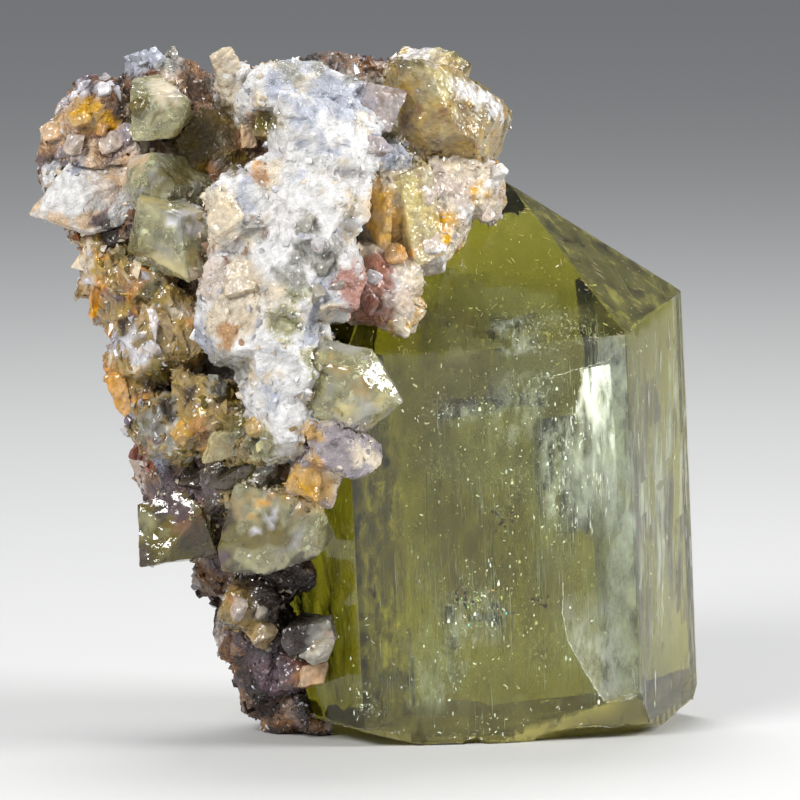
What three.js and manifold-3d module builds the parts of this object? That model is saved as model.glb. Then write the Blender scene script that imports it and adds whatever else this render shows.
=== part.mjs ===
// A hand specimen of fluorapatite: one large yellow-green crystal, broken off at its base, that still
// holds on its left the iron-stained rock, white quartz and smaller crystals that it grew among.
// Millimetres, with X to the right, Y away from the viewer and Z up. The specimen stands on Z = 0, and
// the origin is the middle of the flat break under the large crystal.
import * as THREE from "three";
import { ConvexGeometry } from "three/addons/geometries/ConvexGeometry.js";
import { mergeVertices } from "three/addons/utils/BufferGeometryUtils.js";
import Module from "manifold-3d";

const GAP = 0.3; // left between neighbours, so that each crystal is a solid of its own

// The large crystal is a six-sided prism with a low six-sided point. Its faces have unequal widths:
// the two back faces follow from the other four, because opposite sides of the prism are parallel.
const FRONT_WIDTH = 19.4;
const RIGHT_WIDTH = 11.9;
const RIGHT_BACK_WIDTH = 13;
const LEFT_FRONT_WIDTH = 8;
const LEFT_BACK_WIDTH = RIGHT_WIDTH + RIGHT_BACK_WIDTH - LEFT_FRONT_WIDTH;
const BACK_WIDTH = FRONT_WIDTH + RIGHT_WIDTH - LEFT_BACK_WIDTH;
const POINT_SLOPE = 40.3; // degrees between a face of apatite's common point and its flat end
const CRYSTAL_TURN = 8.7; // degrees that the front face is turned about the crystal's length
const LEAN_FORWARD = 8.9;
const LEAN_LEFT = 2.8;
const SHOULDER = [10.5, -12.7, 28.7]; // where the front and right faces meet the point

const COLOURS = {
  apatite: 0xa8ab3c,
  paleApatite: 0xc3bf7a,
  quartz: 0xe9e4dc,
  stainedQuartz: 0xd9a27c,
  goldenQuartz: 0xb98238,
  smokyQuartz: 0x6d6455,
  rock: 0x5b4038,
};

const wasm = await Module();
wasm.setup();

const SEED_SPREAD = 2654435761; // keeps the series of neighbouring seeds unlike each other

// One number after another between 0 and 1, the same each time for the same seed.
function randomFrom(seed) {
  let restart = seed * SEED_SPREAD;
  return () => {
    const number = THREE.MathUtils.seededRandom(restart);
    restart = undefined;
    return number;
  };
}

function radians(degrees) {
  return THREE.MathUtils.degToRad(degrees);
}

// A flat face through a point, facing along its normal.
function face(normal, point) {
  const outward = new THREE.Vector3(...normal).normalize();
  return new THREE.Plane().setFromNormalAndCoplanarPoint(outward, new THREE.Vector3(...point));
}

const WELD = 1e-4; // corners closer than this are welded

// A closed triangle mesh as a solid that can be joined and cut.
function solidOf(geometry) {
  const bare = geometry.clone();
  bare.deleteAttribute("normal");
  bare.deleteAttribute("uv");
  const merged = mergeVertices(bare, WELD);
  return new wasm.Manifold(
    new wasm.Mesh({
      numProp: 3,
      vertProperties: new Float32Array(merged.attributes.position.array),
      triVerts: new Uint32Array(merged.index.array),
    }),
  );
}

const PARALLEL = 1e-6; // the least volume that three face directions span where they meet in a point
const ON_PLANE = 1e-5; // how far past a plane a corner may lie by rounding
const SAME_CORNER = 1e-2; // corners closer than this are one corner

// The point that three planes share, or nothing where two of them are parallel.
function meetingPoint(a, b, c) {
  const bc = new THREE.Vector3().crossVectors(b.normal, c.normal);
  const volume = a.normal.dot(bc);
  if (Math.abs(volume) < PARALLEL) return null;
  const ca = new THREE.Vector3().crossVectors(c.normal, a.normal);
  const ab = new THREE.Vector3().crossVectors(a.normal, b.normal);
  return bc
    .multiplyScalar(-a.constant)
    .addScaledVector(ca, -b.constant)
    .addScaledVector(ab, -c.constant)
    .divideScalar(volume);
}

// The solid that is behind every one of the planes, each moved outward by grow.
function convexSolid(planes, grow = 0) {
  const moved = planes.map((plane) => new THREE.Plane(plane.normal, plane.constant - grow));
  const corners = [];
  for (let i = 0; i < moved.length; i++)
    for (let j = i + 1; j < moved.length; j++)
      for (let k = j + 1; k < moved.length; k++) {
        const corner = meetingPoint(moved[i], moved[j], moved[k]);
        if (!corner || moved.some((plane) => plane.distanceToPoint(corner) > ON_PLANE)) continue;
        if (corners.every((other) => other.distanceTo(corner) > SAME_CORNER)) corners.push(corner);
      }
  return solidOf(new ConvexGeometry(corners));
}

// How a broken lump's faces lie about its ellipsoid. Six look roughly along the axes, off by a random
// tilt, and hold the lump to its size. The rest go round in a spiral and cut the corners off. A reach is
// the least and the greatest distance out, as a share of the ellipsoid's own.
const AXIS_FACES = 6;
const AXIS_TILT = 0.7;
const AXIS_REACH = [0.86, 0.98];
const SPIRAL_REACH = [0.8, 0.94];
const SPIRAL_STEP = 2.4; // radians from one face of the spiral to the next
const SPIRAL_SLACK = 0.9; // radians that a face may be off that step
const LEVEL_SLACK = [0.2, 0.6]; // where in its own level of the spiral a face lies, and how freely

function between([least, greatest], share) {
  return least + (greatest - least) * share;
}

// A broken lump: its middle, its half size, a seed and how many faces.
function lump(middle, half, seed, faces = 14) {
  const random = randomFrom(seed);
  const centre = new THREE.Vector3(...middle);
  const size = new THREE.Vector3(...half);
  const planes = [];
  const addFace = (normal, share) => {
    const reach = normal.clone().multiply(size).length() * share;
    planes.push(face(normal.toArray(), centre.clone().addScaledVector(normal, reach).toArray()));
  };
  for (let i = 0; i < AXIS_FACES; i++) {
    const normal = new THREE.Vector3(random() - 0.5, random() - 0.5, random() - 0.5);
    normal.multiplyScalar(AXIS_TILT).setComponent(i % 3, i < 3 ? 1 : -1);
    addFace(normal.normalize(), between(AXIS_REACH, random()));
  }
  const levels = faces - AXIS_FACES;
  for (let i = 0; i < levels; i++) {
    const up = 1 - (2 * (i + LEVEL_SLACK[0] + LEVEL_SLACK[1] * random())) / levels;
    const around = i * SPIRAL_STEP + SPIRAL_SLACK * random();
    const level = Math.sqrt(1 - up * up);
    const normal = new THREE.Vector3(level * Math.cos(around), level * Math.sin(around), up);
    addFace(normal, between(SPIRAL_REACH, random()));
  }
  return (grow) => convexSolid(planes, grow);
}

// A small six-sided crystal that grew from root to tip. Flat squeezes it one way across, turn spins it
// about its length, and slope is the angle of its point's faces.
function smallCrystal({ root, tip, width, flat = 1, turn = 0, slope = 50 }) {
  const length = new THREE.Vector3(...tip).sub(new THREE.Vector3(...root));
  const upright = new THREE.Vector3(0, 0, 1);
  const stand = new THREE.Quaternion().setFromUnitVectors(upright, length.clone().normalize());
  const planes = [face(length.clone().negate().toArray(), root)];
  for (let i = 0; i < 6; i++) {
    const angle = radians(60 * i + turn);
    const reach = (width / 2) * (i % 3 === 0 ? flat : 1);
    const side = new THREE.Vector3(Math.cos(angle), Math.sin(angle), 0);
    const onSide = side.clone().multiplyScalar(reach).applyQuaternion(stand);
    const slant = side.clone().multiplyScalar(Math.sin(radians(slope)));
    slant.z = Math.cos(radians(slope));
    onSide.add(new THREE.Vector3(...root));
    planes.push(face(side.applyQuaternion(stand).toArray(), onSide.toArray()));
    planes.push(face(slant.applyQuaternion(stand).toArray(), tip));
  }
  return (grow) => convexSolid(planes, grow);
}

function joined(solids) {
  return solids.reduce((whole, solid) => whole.add(solid));
}

// The planes of the large crystal's growth faces, in the specimen's frame.
function growthFaces() {
  const lean = new THREE.Matrix4()
    .makeRotationY(radians(-LEAN_LEFT))
    .multiply(new THREE.Matrix4().makeRotationX(radians(LEAN_FORWARD)));
  const widths = [
    FRONT_WIDTH,
    RIGHT_WIDTH,
    RIGHT_BACK_WIDTH,
    BACK_WIDTH,
    LEFT_BACK_WIDTH,
    LEFT_FRONT_WIDTH,
  ];
  const planes = [];
  const corner = new THREE.Vector3();
  widths.forEach((width, i) => {
    const heading = radians(CRYSTAL_TURN + 60 * i);
    const along = new THREE.Vector3(Math.cos(heading), Math.sin(heading), 0);
    const outward = new THREE.Vector3(along.y, -along.x, 0);
    if (i === 0) corner.addScaledVector(along, -width); // the front face ends at the shoulder
    const point = corner.clone().applyMatrix4(lean).add(new THREE.Vector3(...SHOULDER));
    const slant = outward.clone().multiplyScalar(Math.sin(radians(POINT_SLOPE)));
    slant.z = Math.cos(radians(POINT_SLOPE));
    planes.push(face(outward.applyMatrix4(lean).toArray(), point.toArray()));
    planes.push(face(slant.applyMatrix4(lean).toArray(), point.toArray()));
    corner.addScaledVector(along, width);
  });
  return planes;
}

// The break that ends the prism: a flat to stand on, and slopes that rise from it to the rim.
const BREAK_FACES = [
  face([0, 0, -1], [0, 0, 0]),
  face([-0.24, -0.12, -1], [-3.6, -10.5, 0]), // to the front left
  face([0.18, -0.27, -1], [3.2, -9.4, 0]), // to the front right
  face([0.35, -1, -0.69], [4.8, -9.2, 0.6]), // the bevel that chipped the foot of the front face
  face([0.3, 0.03, -1], [11.3, 0, 0]), // to the right corner
  face([0.92, 0.1, -0.39], [16, 2.6, 2.1]), // the chip that took the corner off
  face([0, 0.35, -1], [0, 5.5, 0]), // to the back
];

const BITE_DETAIL = 2; // how often each triangle of a bite's round form is divided
const LEAST_BITE = 0.1; // half size that a bite keeps when the crystal around it grows

// Shell-shaped bites that the break left in the rim: middle and half size.
const BREAK_BITES = [
  [[0.3, -10.9, -0.5], [1.1, 1.8, 1]],
  [[9, -9.8, -0.5], [5.2, 3.6, 1.6]],
  [[9.5, 11.6, 0.6], [4.2, 3, 2]],
  [[-3, 12.2, 0.8], [4.4, 3, 1.9]],
];

function roundedBite(middle, half) {
  return new THREE.IcosahedronGeometry(1, BITE_DETAIL).scale(...half).translate(...middle);
}

function largeCrystal(grow) {
  const whole = convexSolid([...growthFaces(), ...BREAK_FACES], grow);
  return BREAK_BITES.reduce((left, [middle, half]) => {
    const shrunk = half.map((length) => Math.max(length - grow, LEAST_BITE));
    return left.subtract(solidOf(roundedBite(middle, shrunk)));
  }, whole);
}

// Each piece in the order in which the pieces cut each other: a later one makes room for all before it.
// Lumps are given by their middle and half size, across, back and up.
const PIECES = [
  { name: "apatite_crystal", colour: COLOURS.apatite, shapes: [largeCrystal] },
  {
    name: "blade_crystal",
    colour: COLOURS.paleApatite,
    shapes: [
      smallCrystal({
        root: [-12.4, -17.2, 26.3],
        tip: [-4.7, -20.2, 24.8],
        width: 5.2,
        flat: 0.75,
        turn: 75,
        slope: 46,
      }),
    ],
  },
  {
    name: "lower_green_crystal",
    colour: COLOURS.paleApatite,
    shapes: [lump([-13.4, -14.2, 16], [3.5, 3.4, 2.3], 41, 10)],
  },
  {
    name: "left_green_crystal",
    colour: COLOURS.paleApatite,
    shapes: [lump([-20.3, -9, 14.6], [2.6, 3.4, 2.2], 42, 10)],
  },
  {
    name: "pocket_crystal_upper",
    colour: COLOURS.paleApatite,
    shapes: [lump([-21.3, -12.3, 44.1], [2, 2.8, 1.6], 43, 10)],
  },
  {
    name: "pocket_crystal_middle",
    colour: COLOURS.paleApatite,
    shapes: [
      smallCrystal({
        root: [-19.2, -10, 38.4],
        tip: [-22.9, -15.6, 39.2],
        width: 4,
        flat: 0.8,
        turn: 10,
        slope: 40,
      }),
    ],
  },
  {
    name: "pocket_crystal_lower",
    colour: COLOURS.paleApatite,
    shapes: [lump([-20.2, -14.2, 35.6], [3, 3.2, 2.5], 45, 11)],
  },
  {
    name: "left_point_crystal",
    colour: COLOURS.stainedQuartz,
    shapes: [
      smallCrystal({
        root: [-22.5, -9.5, 38.9],
        tip: [-30.2, -10.8, 36.7],
        width: 4.9,
        turn: 20,
        slope: 56,
      }),
    ],
  },
  {
    name: "top_crystal",
    colour: COLOURS.paleApatite,
    shapes: [
      lump([-2.3, -6.4, 42.9], [4.3, 6, 3.9], 51, 14),
      lump([-4.9, -8.2, 41.6], [2.2, 3.6, 2.2], 52, 11),
      lump([-3.2, -4.6, 45.6], [2.8, 3.2, 1.3], 53, 11),
    ],
  },
  {
    name: "stained_quartz",
    colour: COLOURS.stainedQuartz,
    shapes: [
      lump([-1.3, -7.6, 38.3], [3.7, 3.2, 1.7], 61),
      lump([-3.6, -9.8, 35.6], [3.1, 3.4, 3.5], 62),
      lump([-6.6, -12.8, 31.8], [3, 3.4, 3.2], 63),
      smallCrystal({
        root: [-6.2, -11, 33.5],
        tip: [-6.1, -13.8, 40.4],
        width: 3.3,
        flat: 0.8,
        slope: 30,
      }),
      smallCrystal({
        root: [-4.4, -10.5, 33],
        tip: [-3.6, -13, 40],
        width: 2.4,
        flat: 0.8,
        turn: 25,
        slope: 45,
      }),
      smallCrystal({
        root: [-6.4, -11, 33],
        tip: [-4.6, -15.6, 29],
        width: 2.6,
        turn: 12,
        slope: 48,
      }),
    ],
  },
  {
    name: "quartz_shelf",
    colour: COLOURS.quartz,
    shapes: [
      lump([-8.8, -18.2, 21.2], [2.6, 2.7, 1.2], 71, 11),
      lump([-10.6, -17.4, 19.5], [1.6, 2, 1.9], 72, 11),
    ],
  },
  {
    name: "quartz_vein",
    colour: COLOURS.quartz,
    shapes: [
      smallCrystal({
        root: [-15.7, -7.4, 42.8],
        tip: [-16.4, -8.8, 46.9],
        width: 1.9,
        turn: 30,
        slope: 24,
      }),
      lump([-11.9, -8.8, 44.5], [4.4, 4.2, 1.9], 81),
      lump([-8.2, -11.4, 43.2], [2.6, 3.6, 2.6], 82),
      lump([-10.1, -13.8, 41.4], [3.6, 4.2, 3.3], 83),
      lump([-6.5, -13.2, 40.7], [2.2, 2, 0.9], 84, 9),
      lump([-12.2, -15.2, 37.2], [3.5, 4.4, 3.8], 85),
      lump([-9.6, -14.4, 38], [2.3, 3.6, 3.4], 86),
      lump([-15.6, -16.4, 37.2], [2.4, 3.4, 2.9], 87),
      lump([-9.8, -16.4, 33.4], [1.9, 2.8, 3.6], 88),
      lump([-12.6, -17, 32.8], [3.2, 3.4, 4], 89),
      lump([-15.2, -16.6, 30.2], [3.3, 3.6, 3.8], 90),
      lump([-12.6, -17.6, 27], [3.2, 3.2, 3.8], 91),
      lump([-11.8, -17.4, 23.4], [3.4, 3.2, 2.6], 92),
    ],
  },
  {
    name: "orange_cluster",
    colour: COLOURS.goldenQuartz,
    shapes: [
      lump([-25.1, -7.6, 33.3], [1.6, 3.8, 2.8], 101),
      lump([-23.8, -8.6, 31], [1.9, 3.4, 2.3], 102),
      lump([-22, -10, 32.6], [2.6, 3.6, 2.6], 103),
      lump([-22.8, -10.4, 29.8], [2, 3.4, 1.9], 104),
      lump([-22, -11, 27.4], [2.3, 3.4, 2.3], 105),
      lump([-20, -11.2, 28.8], [2.4, 3.6, 3], 106),
      smallCrystal({
        root: [-23, -9.6, 28.6],
        tip: [-22.7, -12, 21.8],
        width: 3,
        flat: 0.7,
        turn: 20,
        slope: 62,
      }),
    ],
  },
  {
    name: "smoky_crystal",
    colour: COLOURS.smokyQuartz,
    shapes: [lump([-15.8, -13.8, 18.6], [2.6, 2.6, 1.3], 111, 9)],
  },
  {
    name: "golden_cluster",
    colour: COLOURS.goldenQuartz,
    shapes: [
      lump([-20.6, -11.6, 22.2], [2.4, 3.2, 2.3], 121),
      lump([-18, -13, 23.2], [2.6, 3.4, 2.4], 122),
      lump([-15.2, -14.4, 21.8], [2.8, 3.2, 2.4], 123),
    ],
  },
  {
    name: "foot_white_crystal",
    colour: COLOURS.quartz,
    shapes: [lump([-10.7, -10.2, 7.6], [1.5, 1.9, 1.3], 131, 9)],
  },
  {
    name: "foot_tan_crystal",
    colour: COLOURS.stainedQuartz,
    shapes: [lump([-11.4, -9.2, 5.2], [1.4, 1.9, 1.1], 132, 9)],
  },
  {
    name: "foot_golden_crystal",
    colour: COLOURS.goldenQuartz,
    shapes: [lump([-15.1, -8, 9.4], [1.7, 2.6, 1.9], 133, 10)],
  },
  {
    name: "matrix_rock",
    colour: COLOURS.rock,
    shapes: [
      lump([-24.6, -7, 41.2], [4.3, 5.2, 4.3], 1),
      lump([-27, -7.4, 40], [2.5, 3.4, 3.2], 2),
      lump([-20.8, -5.4, 43.5], [4.4, 5.4, 2.9], 3),
      lump([-15, -2.6, 42.4], [4.8, 5.8, 2.9], 4),
      lump([-22.6, -7, 37], [4.2, 5.6, 4], 5),
      lump([-16.8, -5, 38.6], [5.2, 6.6, 5], 6),
      lump([-11.4, -3.4, 41], [4.6, 5.6, 3.6], 7),
      lump([-7.6, -2, 43.8], [4, 4.6, 3], 8),
      lump([-3.6, 0.4, 42.4], [4.4, 3.6, 3.4], 9),
      lump([-20, -4.6, 32.4], [4.6, 6, 4.4], 10),
      lump([-14.6, -5.4, 33.4], [4.4, 8.4, 5], 11),
      lump([-17.8, -4.4, 28.2], [4.6, 7.4, 4.6], 12),
      lump([-13.8, -6, 27.6], [4, 9.4, 4.6], 13),
      lump([-16.8, -4.6, 23.2], [4.6, 7.6, 4], 14),
      lump([-13, -5.4, 22], [3.8, 9.6, 4], 15),
      lump([-18.4, -5.4, 18.4], [4.2, 6.4, 4], 16),
      lump([-13.4, -4.6, 17.4], [3.8, 7.8, 4.2], 17),
      lump([-15.2, -3.8, 13], [3.4, 6, 3.6], 18),
      lump([-12.4, -3.4, 12.4], [3.2, 6.8, 4.2], 19),
      lump([-13.9, -3.6, 8.4], [2.9, 5.6, 3.4], 20),
      lump([-13.4, -3.4, 4.6], [2.6, 4.8, 3], 21),
      lump([-12.1, -3.4, 1.9], [2.2, 3.8, 2.1], 22),
      lump([-7.6, -7.2, 37.8], [3, 3.8, 4], 23),
    ],
    floor: true,
  },
];

const FLOOR_WIDTH = 100;
const FLOOR_DEPTH = 20;
const HOLLOW_MIDDLE = [-17.2, -14.4, 41.3]; // the deep brown hollow between the vein and the pocket
const HOLLOW_HALF = [3.4, 4.2, 3];

// The rock reaches neither below the surface that the specimen stands on nor into the hollow.
const FLOOR = new THREE.BoxGeometry(FLOOR_WIDTH, FLOOR_WIDTH, FLOOR_DEPTH).translate(0, 0, -FLOOR_DEPTH / 2);
const HOLLOW = roundedBite(HOLLOW_MIDDLE, HOLLOW_HALF);

function largestBody(solid) {
  return solid.decompose().reduce((best, body) => (body.volume() > best.volume() ? body : best));
}

const specimen = new THREE.Group();
let taken = null;
for (const { name, colour, shapes, floor } of PIECES) {
  let solid = joined(shapes.map((shape) => shape(0)));
  if (taken) solid = solid.subtract(taken);
  if (floor) solid = solid.subtract(solidOf(FLOOR)).subtract(solidOf(HOLLOW));
  const { vertProperties, triVerts } = largestBody(solid).getMesh();
  const geometry = new THREE.BufferGeometry();
  geometry.setAttribute("position", new THREE.BufferAttribute(vertProperties, 3));
  geometry.setIndex(new THREE.BufferAttribute(triVerts, 1));
  const flat = geometry.toNonIndexed();
  flat.computeVertexNormals();
  const material = new THREE.MeshStandardMaterial({ color: colour, roughness: 0.5, metalness: 0 });
  const mesh = new THREE.Mesh(flat, material);
  mesh.name = name;
  specimen.add(mesh);
  const grown = joined(shapes.map((shape) => shape(GAP)));
  taken = taken ? taken.add(grown) : grown;
}

export default specimen;
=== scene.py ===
# %% [markdown]
# A fluorapatite crystal on its matrix
#
# The specimen is a broad yellow-green crystal that stands on its own broken base, with quartz, small
# crystals and iron-stained rock down its left side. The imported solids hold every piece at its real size
# and place. Here each one gets its natural surface: grown faces, broken faces, grains and stains.
#
# All sizes in this lesson are in millimetres and become metres only when a mesh is made.

# %% Load the frame
import itertools
import math

import bmesh
import bpy
import numpy as np
from mathutils import Matrix, Vector
from mathutils.bvhtree import BVHTree
from mathutils.kdtree import KDTree


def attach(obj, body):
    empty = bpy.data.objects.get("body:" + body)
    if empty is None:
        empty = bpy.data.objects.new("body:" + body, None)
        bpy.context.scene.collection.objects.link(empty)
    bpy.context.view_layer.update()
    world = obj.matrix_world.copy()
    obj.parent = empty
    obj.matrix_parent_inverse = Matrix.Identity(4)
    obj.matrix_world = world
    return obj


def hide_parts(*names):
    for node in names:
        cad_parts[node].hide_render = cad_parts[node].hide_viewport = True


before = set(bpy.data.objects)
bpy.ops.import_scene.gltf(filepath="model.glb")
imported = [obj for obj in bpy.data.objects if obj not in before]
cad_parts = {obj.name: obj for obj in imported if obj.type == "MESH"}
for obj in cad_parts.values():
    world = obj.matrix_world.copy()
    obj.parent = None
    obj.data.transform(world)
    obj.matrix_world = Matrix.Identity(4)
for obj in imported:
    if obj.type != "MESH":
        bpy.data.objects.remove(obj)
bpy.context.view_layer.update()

MM = 0.001  # metres in a millimetre
print("pieces to dress:", ", ".join(sorted(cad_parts)))

# %% [markdown]
# The camera stands where the photograph was taken from: straight in front and a little above, far
# enough away for the upright edges to stay nearly parallel. Eight hundred pixels span 56 mm there.

# %% Place the camera
VIEW_CENTRE = (-4.9, 0, 22.8)
VIEW_DISTANCE = 500
VIEW_WIDTH = 56
VIEW_RISE = math.radians(6)
SENSOR = 36
NEAREST_SEEN = 10


def add_camera():
    camera = bpy.data.cameras.new("camera")
    camera.sensor_width = SENSOR
    camera.lens = SENSOR * VIEW_DISTANCE / VIEW_WIDTH
    camera.clip_start = NEAREST_SEEN * MM
    stand = bpy.data.objects.new("camera", camera)
    back = Vector((0, -math.cos(VIEW_RISE), math.sin(VIEW_RISE)))
    stand.location = (Vector(VIEW_CENTRE) + back * VIEW_DISTANCE) * MM
    stand.rotation_euler = (math.pi / 2 - VIEW_RISE, 0, 0)
    bpy.context.scene.collection.objects.link(stand)
    bpy.context.scene.camera = stand
    bpy.context.scene.view_settings.view_transform = "Standard"
    print("camera lens", round(camera.lens), "mm")


add_camera()

# %% [markdown]
# A mesh can be built from plain lists of points and faces. This helper does that for every piece made
# here, gives it a finish, and stores a tint at each point, so that neighbouring grains can differ in
# colour while they share one material.

# %% Make a piece from points and faces
def store_tints(mesh, tints):
    """Keeps red, green, blue and strength, or 1 where no strength is given, at each point."""
    layer = mesh.color_attributes.new(name="tint", type="FLOAT_COLOR", domain="POINT")
    full = np.ones((len(tints), 4 - tints.shape[1]))
    layer.data.foreach_set("color", np.concatenate([tints, full], axis=1).astype(np.float32).ravel())


def new_piece(name, points, faces, finish, tints=None, sharp=None):
    """Adds a piece that rides the specimen; edges blunter than sharp degrees look smooth."""
    mesh = bpy.data.meshes.new(name)
    mesh.from_pydata((np.asarray(points) * MM).tolist(), [], [tuple(face) for face in faces])
    if tints is not None:
        store_tints(mesh, tints)
    if sharp is not None:
        mesh.shade_smooth()
        mesh.set_sharp_from_angle(angle=math.radians(sharp))
    mesh.materials.append(finish)
    piece = bpy.data.objects.new(name, mesh)
    bpy.context.scene.collection.objects.link(piece)
    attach(piece, "root")
    return piece


# %% [markdown]
# Arithmetic on whole lists of points is much faster than a loop over a mesh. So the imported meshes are
# read into arrays once, and all shaping below works on arrays of points and triangles. The way a surface
# faces comes from the cross product of two sides of each triangle, which is an outward arrow.

# %% Read a mesh into arrays
NOTHING = 1e-12  # the least length to divide by


def mesh_arrays(mesh):
    """A mesh's points in millimetres and its triangles."""
    points = np.empty(len(mesh.vertices) * 3)
    mesh.vertices.foreach_get("co", points)
    mesh.calc_loop_triangles()
    corners = np.empty(len(mesh.loop_triangles) * 3, dtype=np.int64)
    mesh.loop_triangles.foreach_get("vertices", corners)
    return points.reshape(-1, 3) / MM, corners.reshape(-1, 3)


def triangle_arrows(points, triangles):
    """The triangles' corners, and for each an outward arrow as long as twice its area."""
    corner = points[triangles]
    return corner, np.cross(corner[:, 1] - corner[:, 0], corner[:, 2] - corner[:, 0])


def merged_normals(points, triangles):
    """Outward directions at the points, averaged over the triangles around each."""
    _, arrows = triangle_arrows(points, triangles)
    normals = np.zeros_like(points)
    for i in range(3):
        np.add.at(normals, triangles[:, i], arrows)
    return normals / np.maximum(np.linalg.norm(normals, axis=1, keepdims=True), NOTHING)


print("points in the packed pieces:", sum(len(node.data.vertices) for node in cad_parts.values()))

# %% [markdown]
# Nature repeats nothing, so every surface below is varied by numbers drawn from a grid of cells: a cell
# always gives the same numbers, which keeps each run the same. Soft noise blends them into gentle waves.

# %% Draw the same random numbers every time
# Large odd numbers that mix a cell's place until no pattern is left in the low 32 bits.
CELL_MIX = (73856093, 19349663, 83492791)
SEED_MIX, NEXT_MIX = 2654435761, 0x9E3779B9
FIRST_MIX, SECOND_MIX = 0x2C1B3C6D, 0x297A2D39
LOW_BITS = 2**32 - 1


def cell_numbers(cells, seed, count):
    """Numbers from 0 to 1 for each whole-numbered cell."""
    mixed = (cells.astype(np.int64) * CELL_MIX).sum(-1) + seed * SEED_MIX
    numbers = []
    for _ in range(count):
        mixed = (mixed ^ (mixed >> 15)) & LOW_BITS
        mixed = (mixed * FIRST_MIX) & LOW_BITS
        mixed = ((mixed ^ (mixed >> 12)) * SECOND_MIX) & LOW_BITS
        mixed = mixed ^ (mixed >> 15)
        numbers.append(mixed / 2**32)
        mixed = mixed + NEXT_MIX
    return np.stack(numbers, -1)


def soft_noise(points, size, seed):
    """Gentle waves from 0 to 1, about as long as size."""
    grid = points / size
    cell = np.floor(grid)
    inside = grid - cell
    inside = inside * inside * (3 - 2 * inside)
    total = np.zeros(len(points))
    for corner in itertools.product((0, 1), repeat=3):
        share = np.where(corner, inside, 1 - inside).prod(-1)
        total += share * cell_numbers(cell + corner, seed, 1)[:, 0]
    return total


def ramp(values, low, high):
    """0 below low, 1 above high and even steps between."""
    return np.clip((values - low) / (high - low), 0, 1)


def turns(numbers):
    """Three numbers from 0 to 1 per row, as evenly spread rotation matrices."""
    first, second, third = numbers[..., 0], numbers[..., 1] * math.tau, numbers[..., 2] * math.tau
    low, high = np.sqrt(1 - first), np.sqrt(first)
    x, y, z, w = low * np.sin(second), low * np.cos(second), high * np.sin(third), high * np.cos(third)
    rows = [
        [1 - 2 * (y * y + z * z), 2 * (x * y - z * w), 2 * (x * z + y * w)],
        [2 * (x * y + z * w), 1 - 2 * (x * x + z * z), 2 * (y * z - x * w)],
        [2 * (x * z - y * w), 2 * (y * z + x * w), 1 - 2 * (x * x + y * y)],
    ]
    return np.stack([np.stack(row, -1) for row in rows], -2)


print("the first cell's numbers:", cell_numbers(np.zeros((1, 3)), 1, 3).round(3))

# %% [markdown]
# Broken minerals are made of blocks that stand out at different angles. Relief gives each cell one such
# block, turned and moved at random, and finds how high the highest block reaches at every point. A
# texture could only shade that. Moved points give real ledges, which also show in the outline.

# %% Raise blocks out of a surface
SMALLEST_BLOCK, BLOCK_RANGE = 0.4, 0.6  # half widths as a share of a cell


def crystal_relief(points, size, seed):
    """How high blocks of one size stand at each point."""
    cell = np.floor(points / size)
    height = np.full(len(points), -np.inf)
    for offset in itertools.product((-1, 0, 1), repeat=3):
        numbers = cell_numbers(cell + offset, seed, 7)
        centre = (cell + offset + numbers[:, :3]) * size
        local = np.einsum("nij,nj->ni", turns(numbers[:, 3:6]), points - centre) / size
        block = SMALLEST_BLOCK + BLOCK_RANGE * numbers[:, 6] - np.abs(local).max(1)
        height = np.maximum(height, block)
    return height


sample = np.linspace((0, 0, 0), (20, 20, 20), 500)
print("relief of 2 mm blocks:", np.ptp(crystal_relief(sample, 2, 0)).round(2), "of their size")

# %% [markdown]
# The room: a pale floor, a pale sky that lights the clear crystal from all sides, one large soft lamp at
# the front left, a second at the right that gives the prism its bright edge, and one overhead.

# %% Set the floor and the lights
FLOOR_RADIUS = 2500
FLOOR_CORNERS = 64
FLOOR_COLOUR = (0.56, 0.56, 0.55, 1)
FLOOR_DIMMEST = 0.97  # of its colour
FLOOR_ROUGHNESS = 0.55
FLOOR_GRAIN = 60  # waves a metre
SKY_COLOUR = (0.9, 0.93, 1, 1)
SKY_STRENGTH = 0.28
LAMPS = {
    "key": {"at": (-210, -300, 260), "size": 150, "watts": 1.9},
    "right": {"at": (330, -60, 190), "size": 160, "watts": 1.6},
    "top": {"at": (-20, 120, 380), "size": 200, "watts": 1.0},
}


def node_material(name):
    material = bpy.data.materials.new(name)
    material.use_nodes = True
    nodes = material.node_tree.nodes
    return material, nodes, material.node_tree.links, nodes["Principled BSDF"]


def add_floor():
    material, nodes, links, surface = node_material("pale_floor")
    surface.inputs["Roughness"].default_value = FLOOR_ROUGHNESS
    grain = nodes.new("ShaderNodeTexNoise")
    grain.inputs["Scale"].default_value = FLOOR_GRAIN
    shades = nodes.new("ShaderNodeValToRGB")
    shades.color_ramp.elements[0].color = (*[FLOOR_DIMMEST * c for c in FLOOR_COLOUR[:3]], 1)
    shades.color_ramp.elements[1].color = FLOOR_COLOUR
    links.new(grain.outputs["Fac"], shades.inputs["Fac"])
    links.new(shades.outputs["Color"], surface.inputs["Base Color"])
    around = [i * math.tau / FLOOR_CORNERS for i in range(FLOOR_CORNERS)]
    rim = [(FLOOR_RADIUS * math.cos(a), FLOOR_RADIUS * math.sin(a), 0) for a in around]
    mesh = bpy.data.meshes.new("floor")
    mesh.from_pydata([tuple(c * MM for c in point) for point in rim], [], [tuple(range(FLOOR_CORNERS))])
    mesh.materials.append(material)
    floor = bpy.data.objects.new("floor", mesh)
    bpy.context.scene.collection.objects.link(floor)


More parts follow.
